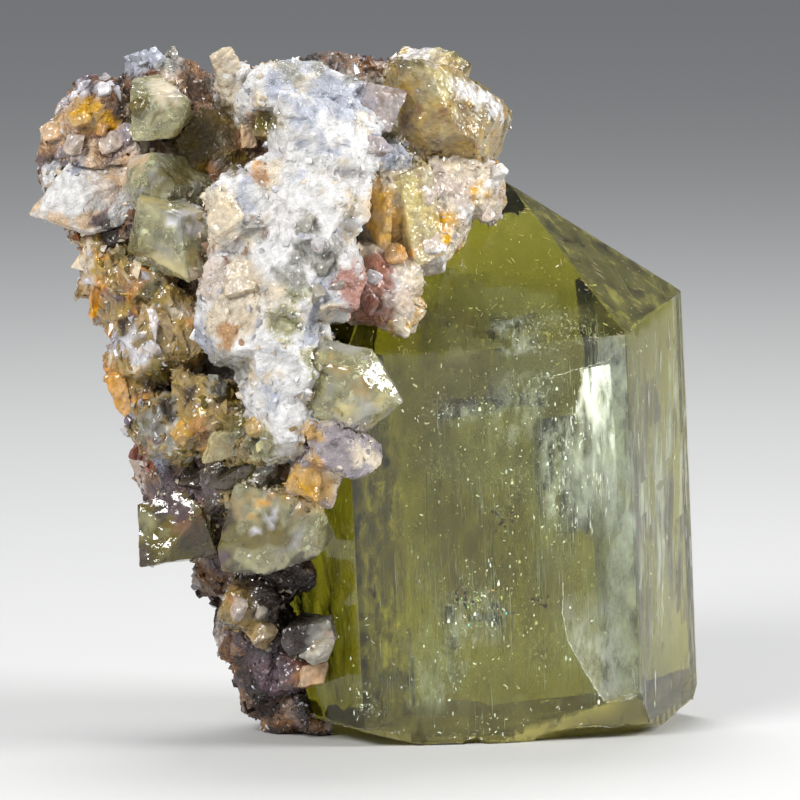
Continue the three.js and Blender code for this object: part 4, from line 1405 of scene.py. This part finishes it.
# %% [markdown]
# One finish serves all of the matrix. It takes its colour from each point's tint and its clearness from
# the tint's fourth number: the clearer, the more light goes through and the smoother the surface. Fine
# grains are pressed in as a bump with flat sides, so that they glint as broken quartz does.

# %% Mix the mineral finish
QUARTZ_BENDING = 1.55
FINE_MOTTLE, BROAD_MOTTLE = 0.4, 1.4
MILK_SPREAD, MILK_DEPTH = (1, 0.8, 0.6), 0.6


def mineral_finish(name, gloss, mottle, grain=None, depth=0, milky=0):
    material, nodes, links, surface = node_material(name)
    tint = tint_of(nodes)
    place = nodes.new("ShaderNodeTexCoord")

    def speckle(size, detail):
        noise = nodes.new("ShaderNodeTexNoise")
        noise.inputs["Scale"].default_value = 1 / (size * MM)
        noise.inputs["Detail"].default_value = detail
        links.new(place.outputs["Object"], noise.inputs["Vector"])
        return noise.outputs["Fac"]

    def between(value, low, high, from_low=0.3, from_high=0.7):
        range_node = nodes.new("ShaderNodeMapRange")
        range_node.inputs["From Min"].default_value = from_low
        range_node.inputs["From Max"].default_value = from_high
        range_node.inputs["To Min"].default_value = low
        range_node.inputs["To Max"].default_value = high
        links.new(value, range_node.inputs["Value"])
        return range_node.outputs["Result"]

    def combined(first, second, operation):
        math_node = nodes.new("ShaderNodeMath")
        math_node.operation = operation
        math_node.use_clamp = True
        links.new(first, math_node.inputs[0])
        links.new(second, math_node.inputs[1])
        return math_node.outputs["Value"]

    fine, broad = speckle(FINE_MOTTLE, 3), speckle(BROAD_MOTTLE, 2)
    shade = nodes.new("ShaderNodeHueSaturation")
    links.new(tint.outputs["Color"], shade.inputs["Color"])
    links.new(between(fine, 1 - mottle, 1 + mottle), shade.inputs["Value"])
    links.new(between(broad, 1 + mottle, 1 - mottle), shade.inputs["Saturation"])
    links.new(shade.outputs["Color"], surface.inputs["Base Color"])
    clear = combined(tint.outputs["Alpha"], between(broad, 1 - 2 * mottle, 1 + mottle), "MULTIPLY")
    links.new(clear, surface.inputs["Transmission Weight"])
    frost = between(fine, gloss[0], gloss[1])
    smoother = between(tint.outputs["Alpha"], 0, 0.12, 0.1, 0.6)
    links.new(combined(frost, smoother, "SUBTRACT"), surface.inputs["Roughness"])
    surface.inputs["IOR"].default_value = QUARTZ_BENDING
    surface.inputs["Subsurface Weight"].default_value = milky
    surface.inputs["Subsurface Radius"].default_value = MILK_SPREAD
    surface.inputs["Subsurface Scale"].default_value = MILK_DEPTH * MM
    if grain:
        cells = nodes.new("ShaderNodeTexVoronoi")
        cells.distance = "CHEBYCHEV"
        cells.inputs["Scale"].default_value = 1 / (grain * MM)
        links.new(place.outputs["Object"], cells.inputs["Vector"])
        bump = nodes.new("ShaderNodeBump")
        bump.inputs["Strength"].default_value = depth
        bump.inputs["Distance"].default_value = grain * MM
        bump.invert = True
        links.new(cells.outputs["Distance"], bump.inputs["Height"])
        links.new(bump.outputs["Normal"], surface.inputs["Normal"])
    return material


FINISHES = {
    "rocky": mineral_finish("rocky_mineral", (0.25, 0.6), 0.3, 0.25, 0.5),
    "sugary": mineral_finish("sugary_quartz", (0.25, 0.5), 0.08, 0.16, 0.4, milky=0.2),
    "glassy": mineral_finish("glassy_mineral", (0.08, 0.35), 0.2, 0.28, 0.25),
    "chips": mineral_finish("loose_chips", (0.03, 0.3), 0.2),
    "small_apatite": mineral_finish("small_apatite", (0.05, 0.22), 0.08, 0.35, 0.06),
}
print("finishes:", ", ".join(FINISHES))

# %% [markdown]
# Every packed lump becomes a fine, even mesh first. The remesher fills the solid with small cubes and
# skins them, which joins corners and gives the relief enough points to move. The surface then moves in
# and out by blocks of three or four sizes, and merging its smallest faces leaves flat, angular facets
# like those of a broken mineral.

# %% Break up a lump's surface
RELIEF_RANGE, RELIEF_MIDDLE = (-0.3, 0.8), 0.35  # the heights that a block keeps, and the one that stays put
CREVICE_START, CREVICE_BLEND = 0.45, 0.4  # as shares of the blocks' depths


def with_modifier(points, faces, kind, **settings):
    """Points and faces after one of Blender's modifiers has worked on them."""
    mesh = bpy.data.meshes.new("rough")
    mesh.from_pydata(points.tolist(), [], faces.tolist())
    holder = bpy.data.objects.new("rough", mesh)
    bpy.context.scene.collection.objects.link(holder)
    modifier = holder.modifiers.new("step", kind)
    for setting, value in settings.items():
        setattr(modifier, setting, value)
    result = holder.evaluated_get(bpy.context.evaluated_depsgraph_get()).to_mesh()
    points = np.empty(len(result.vertices) * 3)
    result.vertices.foreach_get("co", points)
    corners = len(result.polygons[0].vertices)
    faces = np.empty(len(result.polygons) * corners, dtype=np.int64)
    result.polygons.foreach_get("vertices", faces)
    bpy.data.objects.remove(holder)
    bpy.data.meshes.remove(mesh)
    return points.reshape(-1, 3), faces.reshape(-1, corners)


def even_mesh(node, grow, voxel):
    """A piece of the frame, grown a little, as evenly spread points and square faces in millimetres."""
    shape = welded_shape(node)
    welded = bpy.data.meshes.new(node)
    shape.to_mesh(welded)
    shape.free()
    points, triangles = mesh_arrays(welded)
    bpy.data.meshes.remove(welded)
    points = points + merged_normals(points, triangles) * grow
    return with_modifier(points, triangles, "REMESH", mode="VOXEL", voxel_size=voxel)


def nearest_finder(points):
    tree = KDTree(len(points))
    for index, point in enumerate(points):
        tree.insert(point, index)
    tree.balance()
    return tree


def nearest(values, from_points, to_points):
    """Each point's value from the nearest of the points that the values belong to."""
    tree = nearest_finder(from_points)
    return values[[tree.find(point)[1] for point in to_points]]


def halves(faces):
    return np.concatenate([faces[:, :3], faces[:, [0, 2, 3]]])


def broken_up(points, faces, blocks, seed):
    """The points moved by blocks given as size and depth, and how far out of a crevice each one lies."""
    normals = merged_normals(points, halves(faces))
    total = np.zeros(len(points))
    for number, (size, depth) in enumerate(blocks):
        height = crystal_relief(points, size, seed + number)
        total += depth * (np.clip(height, *RELIEF_RANGE) - RELIEF_MIDDLE)
    points = points + normals * total[:, None]
    points[:, 2] = np.maximum(points[:, 2], 0)
    share = total / sum(depth for _, depth in blocks)
    return points, np.clip((share + CREVICE_START) / CREVICE_BLEND, 0, 1)


# Painted shade in the crevices: how much of the red, green and blue light the tints keep at a crevice's
# bottom.
CREVICE_SHADES = {
    "rocky": (0.4, 0.3, 0.25),
    "sugary": (0.72, 0.66, 0.6),
    "glassy": (0.6, 0.45, 0.3),
    "small_apatite": (0.7, 0.65, 0.5),
}


def shaded_in_crevices(tints, finish, outness):
    """The tints with painted shade in the crevices."""
    crevice = np.array(CREVICE_SHADES[finish])
    tints[:, :3] *= crevice + (1 - crevice) * outness[:, None]
    return tints


print("crevices for", ", ".join(CREVICE_SHADES))

# %% [markdown]
# Each lump gets the blocks and the minerals that suit it: coarse blocks on the rock, milky ones on the
# white vein, and only shallow, crisp ones on the small apatite crystals, whose grown faces stay flat. It
# grows a little into the gap to its neighbours, because the real ones have grown together.

# %% List the lumps
COARSE = [(3.2, 0.9), (1.3, 0.5), (0.55, 0.22), (0.3, 0.08)]
MILKY_BLOCKS = [(3.4, 0.8), (1.3, 0.5), (0.55, 0.22), (0.3, 0.08)]
MIDDLE_BLOCKS = [(2.2, 0.6), (0.9, 0.36), (0.4, 0.16)]
FINE = [(2, 0.35), (0.8, 0.2), (0.35, 0.09)]
CRISP = [(2.2, 0.14), (0.8, 0.08), (0.3, 0.035)]
# The main lumps: slot and finish, how far each grows into the gaps, the blocks, and its own minerals.
LUMPS = {
    "matrix_rock": ("rock", "rocky", 0.3, COARSE, ["iron_brown", "purple_rock", "pink_quartz", "dark_rock_and_shade"]),
    "quartz_vein": (
        "white_quartz", "sugary", 0.25, MILKY_BLOCKS, ["white_quartz", "blue_druse", "cream_quartz"]
    ),
    "stained_quartz": (
        "stained_quartz", "glassy", 0.25, MIDDLE_BLOCKS, ["cream_quartz", "pink_quartz", "honey_glass"]
    ),
    "orange_cluster": (
        "golden_quartz", "glassy", 0.25, MIDDLE_BLOCKS, ["gold_glass", "iron_orange", "cream_quartz"]
    ),
    "golden_cluster": (
        "golden_quartz", "glassy", 0.25, MIDDLE_BLOCKS, ["gold_glass", "grey_glass", "olive_glass"]
    ),
}
# The smaller ones are all finely broken and grow alike: slot, finish and minerals.
FINE_LUMPS = {
    "quartz_shelf": ("white_quartz", "sugary", ["lilac_quartz", "cream_quartz"]),
    "smoky_crystal": ("smoky_quartz", "glassy", ["smoky_glass", "grey_glass"]),
    "foot_white_crystal": ("white_quartz", "glassy", ["grey_glass", "pink_quartz"]),
    "foot_tan_crystal": ("stained_quartz", "glassy", ["iron_orange", "cream_quartz"]),
    "foot_golden_crystal": ("golden_quartz", "glassy", ["gold_glass", "hollow_brown_and_shade"]),
    "left_point_crystal": ("stained_quartz", "sugary", ["white_quartz", "pink_quartz"]),
    "top_crystal": ("pale_apatite", "glassy", ["gold_glass", "pale_yellow", "olive_glass"]),
}
# The small apatite crystals differ only in their minerals.
APATITE_LUMPS = {
    "blade_crystal": ["green_glass", "pale_yellow", "grey_glass"],
    "lower_green_crystal": ["green_glass", "grey_glass", "olive_glass"],
    "left_green_crystal": ["olive_glass", "green_glass", "smoky_glass"],
    "pocket_crystal_upper": ["green_glass", "grey_glass"],
    "pocket_crystal_middle": ["green_glass", "grey_glass"],
    "pocket_crystal_lower": ["green_glass", "pale_yellow", "grey_glass"],
}
FINE_GROWTH, APATITE_GROWTH = 0.2, 0.1
for node, (slot, finish, minerals) in FINE_LUMPS.items():
    LUMPS[node] = (slot, finish, FINE_GROWTH, FINE, minerals)
for node, minerals in APATITE_LUMPS.items():
    LUMPS[node] = ("pale_apatite", "small_apatite", APATITE_GROWTH, CRISP, minerals)
print("lumps:", len(LUMPS))

# %% [markdown]
# One loop dresses them all. The size of the remesher's cubes sets how fine the facets can get. Merging
# works on the finished shape, so flat stretches lose most of their faces and sharp ones keep theirs.

# %% Dress the lumps
FACETS = {"rocky": 0.2, "sugary": 0.28, "glassy": 0.22, "small_apatite": 0.11}  # the share of faces kept
VOXELS = {"rocky": 0.15, "sugary": 0.15, "glassy": 0.15, "small_apatite": 0.14}
surfaces = {}
for number, (node, (slot, finish, grow, blocks, minerals)) in enumerate(LUMPS.items()):
    points, faces = even_mesh(node, grow, VOXELS[finish])
    even_points, even_outness = broken_up(points, faces, blocks, 100 + 10 * number)
    points, faces = with_modifier(even_points, halves(faces), "DECIMATE", ratio=FACETS[finish])
    outness = nearest(even_outness, even_points, points)
    # Painted shade darkens the tints in the crevices.
    tints = shaded_in_crevices(painted(points, minerals, 500 + 100 * number), finish, outness)
    lump = new_piece(f"broken_{node}", points, faces, FINISHES[finish], tints)
    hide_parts(node)
    surfaces[node] = (points, faces)
    print(node, len(faces), "faces")

# %% [markdown]
# Loose grains and small crystals cover the lumps: druse on the quartz, angular chips on the stained
# parts and grit on the rock, with more on its foot and none in the hollow. Every spot on a lump is
# equally likely, by area. A grain sinks partly into the surface and takes the colour that the patches
# give at its place, a little lighter or darker, and now and then one gets the pale colour of a painted
# glint.

# %% Scatter grains over the lumps
SINK = 0.2  # of a grain's width
PALE_SHARE = 0.15
CLEAREST_GRAIN = 0.85
HOLLOW = (-17.8, 41.7, 3.4, 2.8)  # its middle across and up, as the camera sees it, and its half size
FOOT_TOP = 13


def surface_area(node):
    _, arrows = triangle_arrows(*surfaces[node])
    return np.linalg.norm(arrows, axis=1).sum() / 2


def spots_on(node, per_mm, draw):
    """Random places on a lump's surface, so many a square millimetre, and the outward directions there."""
    corner, arrows = triangle_arrows(*surfaces[node])
    area = np.linalg.norm(arrows, axis=1)
    count = int(surface_area(node) * per_mm)
    chosen = draw.choice(len(corner), count, p=area / area.sum())
    mix = draw.dirichlet((1, 1, 1), count)
    places = (corner[chosen] * mix[:, :, None]).sum(1)
    return places, arrows[chosen] / np.maximum(area[chosen, None], NOTHING)


def scatter(node, name, shapes, per_mm, size, stretch, lean, seed, keep=None):
    """Grains on one lump: how many a square millimetre, their size range and their stretch in length."""
    slot, _, _, _, minerals = LUMPS[node]
    draw = np.random.default_rng(seed)
    places, outward = spots_on(node, per_mm, draw)
    if keep is not None:
        kept = keep(places)
        places, outward = places[kept], outward[kept]
    count = len(places)
    width = size[0] + (size[1] - size[0]) * draw.uniform(size=count) ** 5
    scales = width[:, None] * draw.uniform(0.5, 1.3, (count, 3))
    scales[:, 2] *= stretch
    places = places - outward * width[:, None] * SINK
    rotations = leaning(outward, lean, draw)
    grains, faces, copies = joined_copies(shapes, places, rotations, scales, draw.integers(0, 60, count))
    grains[:, 2] = np.maximum(grains[:, 2], 0)
    tints = painted(places, minerals, 5000 + seed)
    tints[:, :3] *= draw.uniform(0.75, 1.25, (count, 1))
    # Some grains get the pale colour of a painted glint.
    pale = (draw.uniform(size=count) < PALE_SHARE)[:, None]
    tints = np.where(pale, MINERALS["silver_painted_glint"] * (1, 1, 1, 1.5), tints)
    tints[:, 3] = np.clip(tints[:, 3] * draw.uniform(0.5, 1.8, count), 0, CLEAREST_GRAIN)
    new_piece(name, grains, faces, FINISHES["chips"], np.clip(tints, 0, 0.95)[copies])
    print(name, count, "grains,", len(faces), "triangles")


def outside_hollow(places):
    across, up, half_width, half_height = HOLLOW
    seen = seen_at(places)
    return np.hypot((seen[:, 0] - across) / half_width, (seen[:, 1] - up) / half_height) > 1


def in_foot(places):
    return places[:, 2] < FOOT_TOP


scatter("matrix_rock", "rock_grit", SHARDS, 3, (0.2, 1.3), 1, 0.8, 31, outside_hollow)
scatter("matrix_rock", "rock_dust", SHARDS, 1.8, (0.08, 0.35), 1, 0.8, 30)
scatter("matrix_rock", "foot_grit", SHARDS, 7, (0.08, 0.5), 1, 0.8, 39, in_foot)
scatter("quartz_vein", "vein_druse", POINTED + SHARDS, 4.6, (0.08, 0.6), 1, 0.6, 32)
scatter("stained_quartz", "stained_chips", SHARDS, 6, (0.1, 0.8), 1, 0.7, 33)
scatter("orange_cluster", "orange_chips", SHARDS, 6, (0.1, 1.1), 1.2, 0.7, 34)
scatter("golden_cluster", "golden_chips", SHARDS, 6, (0.1, 1.1), 1.2, 0.7, 35)
scatter("quartz_shelf", "shelf_druse", POINTED + SHARDS, 4, (0.1, 0.5), 1, 0.6, 36)
scatter("top_crystal", "top_crust", SHARDS, 5, (0.06, 0.4), 1, 0.6, 37)
scatter("left_point_crystal", "left_point_chips", SHARDS, 3, (0.08, 0.45), 1, 0.6, 38)
CHIPPED = ("smoky_crystal", "foot_white_crystal", "foot_tan_crystal", "foot_golden_crystal")
for number, node in enumerate(CHIPPED):
    scatter(node, f"{node}_chips", SHARDS, 2.5, (0.08, 0.5), 1, 0.6, 40 + number)

# %% [markdown]
# Where two pieces meet, real crystals have grown into each other and crumbs fill the joint. So grains go
# wherever a lump comes close to another one, in the colours of both sides mixed with pale crust.

# %% Fill the joints with grains
JOINT = 0.9
JOINT_GRAINS = 4.2  # tried on each square millimetre, before those away from a joint are left out
SMALLEST_CRUMB, CRUMB_RANGE = 0.12, 0.6
CRUST_SHARE = 0.3
JOINT_LEAN = 0.9


def near_others(node, places):
    """Which places lie close to another lump."""
    others = np.concatenate([points for other, (points, _) in surfaces.items() if other != node])
    tree = nearest_finder(others)
    return np.array([tree.find(place)[2] < JOINT for place in places])


def joint_grains(node, draw):
    """One lump's share of the grains: points, triangles and tints."""
    places, outward = spots_on(node, JOINT_GRAINS, draw)
    kept = near_others(node, places) & outside_hollow(places)
    places, outward = places[kept], outward[kept]
    count = len(places)
    width = SMALLEST_CRUMB + CRUMB_RANGE * draw.uniform(size=count) ** 3
    rotations = leaning(outward, JOINT_LEAN, draw)
    scales = width[:, None] * draw.uniform(0.6, 1.3, (count, 3))
    points, faces, copies = joined_copies(SHARDS, places, rotations, scales, draw.integers(0, 60, count))
    colours = painted(places, LUMPS[node][4], 7000)
    crust = (draw.uniform(size=count) < CRUST_SHARE)[:, None]
    colours = np.where(crust, MINERALS["cream_quartz"], colours)
    colours[:, :3] *= draw.uniform(0.7, 1.2, (count, 1))
    return points, faces, np.clip(colours, 0, 0.95)[copies]


def fill_joints(seed):
    draw = np.random.default_rng(seed)
    grains, grain_faces, tints, used = [], [], [], 0
    for node in LUMPS:
        points, faces, colours = joint_grains(node, draw)
        grains.append(points)
        grain_faces.append(faces + used)
        tints.append(colours)
        used += len(points)
    grains, grain_faces, tints = (np.concatenate(rows) for rows in (grains, grain_faces, tints))
    grains[:, 2] = np.maximum(grains[:, 2], 0)
    new_piece("joint_grains", grains, grain_faces, FINISHES["chips"], tints)
    print("joint grains:", len(grain_faces), "triangles")


fill_joints(70)

# %% [markdown]
# Some crystals stand out in the photograph, such as the orange plates, the pale yellow blade and the
# smoky wedge under the shelf. Each goes where the camera sees it: a straight line from the camera finds
# the surface there, and a block is set halfway into it. The blocks are then broken up like the lumps.

# %% Set the crystals that stand out
BLADE = hull([
    (-0.5, -0.4, 0.5), (0.5, -0.3, 0.42), (0.45, 0.5, 0.5), (-0.45, 0.5, 0.4), (0.42, -0.3, -0.1),
    (-0.36, 0.3, -0.2), (0.05, 0, -0.55),
])
LANDMARK_SHAPES = {"block": BLOCKS[0], "shard": SHARDS[3], "blade": BLADE}
LANDMARK_BLOCKS = [(0.9, 0.2), (0.35, 0.08)]
LANDMARK_VOXEL = 0.1
LANDMARK_FACETS = 0.2
LANDMARK_TILT = 0.25
LANDMARK_SPECKLE = 0.25
OWN_COLOUR = 0.75  # the rest comes from the patches around it
SIGHT_START = -60  # how far in front of the specimen the lines of sight start
# By slot, each crystal's place across and up, its width, depth and height, its clockwise turn in degrees
# as seen by the camera, its shape and its mineral.
# Rows in the silver painted glint colour are painted glints.
LANDMARKS = {
    "white_quartz": [
        ((-16.7, 46.7), (1.7, 1.2, 2.7), -35, "block", "cream_quartz"),
        ((1.9, 39.6), (1.5, 1.0, 1.1), 10, "shard", "white_quartz"),
        ((-6.8, 32.2), (1.1, 0.8, 0.9), 20, "block", "silver_painted_glint"),
        ((-4.6, 30.0), (1.5, 1.2, 2.5), -20, "blade", "pink_quartz"),
        ((-6.6, 41.0), (3.2, 1.4, 1.4), 15, "shard", "lilac_quartz"),
        ((-6.4, 43.8), (2.9, 1.6, 3.1), 10, "block", "lilac_quartz"),
        ((-22.4, 47.2), (1.1, 1.0, 1.3), 20, "shard", "blue_druse"),
        ((-21.5, 47.2), (1.3, 1.0, 1.6), -10, "shard", "blue_druse"),
        ((-20.5, 47.5), (1.3, 1.0, 1.4), 15, "shard", "grey_glass"),
        ((-11.2, 35.6), (1.4, 1.0, 1.7), 30, "shard", "grey_glass"),
        ((-10.4, 34.4), (1.1, 1.0, 1.5), -20, "shard", "silver_painted_glint"),
        ((-9.8, 33.0), (1.4, 1.0, 1.8), 30, "shard", "grey_glass"),
        ((-10.6, 31.1), (1.8, 1.0, 1.3), 10, "shard", "grey_glass"),
        ((-9.0, 31.4), (1.4, 0.8, 0.8), -30, "blade", "grey_glass"),
        ((-16.6, 36.1), (2.5, 1.4, 2.9), 10, "shard", "cream_quartz"),
        ((-15.4, 32.1), (2.4, 1.2, 2.1), -10, "block", "cream_quartz"),
        ((-26.5, 45.6), (1.1, 0.7, 0.6), -20, "block", "silver_painted_glint"),
        ((-27.3, 44.8), (0.7, 0.7, 0.8), 10, "block", "silver_painted_glint"),
        ((-25.2, 46.1), (0.6, 0.7, 0.8), 35, "block", "silver_painted_glint"),
        ((-28.2, 43.9), (0.6, 0.7, 0.8), 20, "block", "silver_painted_glint"),
        ((-25.0, 45.0), (0.8, 0.7, 0.6), -20, "block", "silver_painted_glint"),
        ((-21.6, 27.4), (1.0, 0.8, 0.8), 30, "block", "silver_painted_glint"),
        ((-10.5, 6.7), (2.8, 1.6, 1.8), -15, "shard", "grey_glass"),
    ],
    "golden_quartz": [
        ((-15.3, 42.5), (1.1, 1.2, 2.7), -8, "block", "peach_quartz"),
        ((-14.1, 42.9), (1.1, 1.2, 2.4), 0, "block", "olive_glass"),
        ((-23.9, 23.9), (1.4, 1.2, 3.9), -18, "blade", "bright_orange"),
        ((-22.5, 29.3), (0.7, 0.8, 2.4), 20, "blade", "gold_glass"),
        ((-21.6, 28.8), (0.7, 0.8, 2.7), -5, "blade", "silver_painted_glint"),
        ((-20.7, 28.6), (0.8, 0.8, 2.8), -15, "blade", "gold_glass"),
        ((-19.8, 28.1), (0.6, 0.8, 2.2), -28, "blade", "gold_glass"),
        ((-10.9, 18.3), (1.7, 1.2, 2.8), -15, "blade", "honey_glass"),
        ((-3.6, 36.5), (2.7, 1.6, 6.4), -16, "block", "pale_yellow"),
        ((-6.2, 36.5), (2.2, 1.6, 4.9), -8, "shard", "honey_glass"),
        ((-5.2, 33.7), (2.1, 1.2, 1.5), 20, "shard", "bright_orange"),
        ((-25.6, 30.8), (1.1, 1.0, 2.4), -5, "block", "bright_orange"),
        ((-14.3, 7.7), (2.5, 1.4, 2.0), 10, "shard", "gold_glass"),
        ((-14.5, 9.2), (1.1, 0.9, 1.1), 0, "shard", "grey_glass"),
        ((-19.6, 21.6), (2.0, 1.2, 1.5), 15, "shard", "honey_glass"),
        ((-16.4, 20.9), (3.2, 1.4, 1.8), -8, "block", "green_glass"),
        ((-14.6, 22.0), (1.8, 1.2, 1.4), 20, "shard", "gold_glass"),
        ((-26.6, 43.1), (1.8, 1.0, 1.3), 10, "shard", "honey_glass"),
        ((-25.1, 42.4), (1.1, 0.9, 1.0), -20, "shard", "iron_orange"),
    ],
    "smoky_quartz": [
        ((-16.1, 18.8), (4.6, 1.4, 1.7), -8, "shard", "smoky_glass"),
        ((-18.8, 18.6), (1.8, 1.2, 1.7), 10, "block", "smoky_glass"),
        # A dark brown shard in the hollow, coloured with painted shade.
        ((-18.1, 41.4), (4.3, 1.0, 4.6), 10, "shard", "hollow_brown_and_shade"),
        ((-22.5, 44.0), (1.4, 0.8, 1.8), 10, "shard", "olive_glass"),
    ],
    "stained_quartz": [
        ((-23.4, 22.4), (0.9, 0.8, 0.9), 0, "shard", "purple_rock"),
        ((-22.7, 20.4), (1.3, 1.0, 1.5), 15, "block", "rust_red"),
        ((-6.9, 30.3), (1.6, 1.0, 1.5), -20, "shard", "rust_pink"),
        ((-16.0, 9.5), (1.5, 1.2, 1.7), 0, "shard", "pink_quartz"),
        ((-10.9, 4.9), (1.8, 1.2, 1.4), -10, "block", "peach_quartz"),
        ((-28.7, 42.3), (1.8, 1.1, 1.5), 20, "shard", "peach_quartz"),
        ((-27.0, 41.4), (2.0, 1.1, 1.5), -10, "shard", "pink_quartz"),
        ((-24.6, 41.4), (1.7, 1.1, 1.8), 20, "shard", "pink_quartz"),
        ((-23.4, 42.1), (1.4, 1.1, 1.4), -20, "shard", "lilac_quartz"),
    ],
}


def matrix_tree():
    """All broken surfaces in a form that finds where a straight line meets them."""
    points, faces, used = [], [], 0
    for part_points, part_faces in surfaces.values():
        points.append(part_points)
        faces.append(part_faces + used)
        used += len(part_points)
    return BVHTree.FromPolygons(np.concatenate(points).tolist(), np.concatenate(faces).tolist())


def seen_surface(tree, across, up):
    """The point of the matrix that the camera sees at a place in the patches' plane."""
    start = Vector((across, SIGHT_START, up - VIEW_DROP * (SIGHT_START - PATCH_DEPTH)))
    return tree.ray_cast(start, Vector((0, 1, -VIEW_DROP)).normalized())[0]


def turned_to_camera(roll, draw):
    """A rotation whose second axis runs along the line of sight, leaning a little at random."""
    lean = draw.normal(size=2) * LANDMARK_TILT
    turn = (
        Matrix.Rotation(-VIEW_RISE, 3, "X") @ Matrix.Rotation(math.radians(roll), 3, "Y")
        @ Matrix.Rotation(lean[0], 3, "X") @ Matrix.Rotation(lean[1], 3, "Z")
    )
    return np.array(turn)


def add_landmarks(slot, rows, tree, seed):
    draw = np.random.default_rng(seed)
    found = [(row, seen_surface(tree, *row[0])) for row in rows]
    missed = [row[0] for row, place in found if place is None]
    rows = [row for row, place in found if place is not None]
    places = np.array([place for row, place in found if place is not None])
    rotations = np.stack([turned_to_camera(row[2], draw) for row in rows])
    scales = np.array([row[1] for row in rows])
    picks = np.array([list(LANDMARK_SHAPES).index(row[3]) for row in rows])
    points, triangles, _ = joined_copies(list(LANDMARK_SHAPES.values()), places, rotations, scales, picks)
    points, faces = with_modifier(points, triangles, "REMESH", mode="VOXEL", voxel_size=LANDMARK_VOXEL)
    even_points, even_outness = broken_up(points, faces, LANDMARK_BLOCKS, seed)
    points, faces = with_modifier(even_points, halves(faces), "DECIMATE", ratio=LANDMARK_FACETS)
    local = np.einsum("pmi,mij->pmj", points[:, None] - places[None], rotations) / scales
    nearest_row = np.abs(local).max(2).argmin(1)
    own = np.array([MINERALS[row[4]] for row in rows])[nearest_row]
    tints = OWN_COLOUR * own + (1 - OWN_COLOUR) * painted(points, [rows[0][4]], seed)
    tints[:, :3] *= 0.7 + 0.6 * soft_noise(points, LANDMARK_SPECKLE, seed)[:, None]
    # Painted shade darkens the tints in the crevices here too.
    tints = shaded_in_crevices(tints, "glassy", nearest(even_outness, even_points, points))
    new_piece(f"standout_{slot}", points, faces, FINISHES["glassy"], np.clip(tints, 0, 0.95))
    print(slot, len(rows), "crystals,", len(faces), "faces, missed:", missed)


sight_tree = matrix_tree()
for number, (slot, rows) in enumerate(LANDMARKS.items()):
    add_landmarks(slot, rows, sight_tree, 90 + number)

# %% [markdown]
# The small apatite crystals are clear too, but cracked all through. Flat flakes under the surface stand
# for the cracks: they catch the light, glow faintly as the flakes in the large crystal do, and hide what
# is behind, which gives the glass its milky body. A few carry iron stain. Fine frost sits on the faces.

# %% Crack the small apatite crystals
SMALL_CRYSTALS = [node for node, settings in LUMPS.items() if settings[0] == "pale_apatite"]
CRACKS_PER_MM = 2
CRACK_DEPTHS = (0.3, 1.5)
SMALLEST_CRACK, CRACK_RANGE = 0.08, 0.6
CRACK_THICKNESS = 0.05  # of its size
STAINED_SHARE = 0.12


def add_cracks(node, seed):
    draw = np.random.default_rng(seed)
    places, outward = spots_on(node, CRACKS_PER_MM, draw)
    count = len(places)
    places = places - outward * draw.uniform(*CRACK_DEPTHS, (count, 1))
    size = SMALLEST_CRACK + CRACK_RANGE * draw.uniform(size=count) ** 3
    scales = np.stack([size, size * draw.uniform(0.4, 1, count), size * CRACK_THICKNESS], 1)
    rotations = turns(draw.uniform(size=(count, 3)))
    points, faces, copies = joined_copies(SHARDS, places, rotations, scales, draw.integers(0, 4, count))
    tints = PLAIN_WHITE * draw.uniform(0.6, 1, (count, 1))
    tints[draw.uniform(size=count) < STAINED_SHARE] = MINERALS["iron_orange"][:3]
    new_piece(f"{node}_cracks", points, faces, dashes, tints[copies])
    print(node, count, "cracks")


for number, node in enumerate(SMALL_CRYSTALS):
    add_cracks(node, 60 + number)
    scatter(node, f"{node}_frost", SHARDS, 2.5, (0.04, 0.3), 1, 0.6, 80 + number)
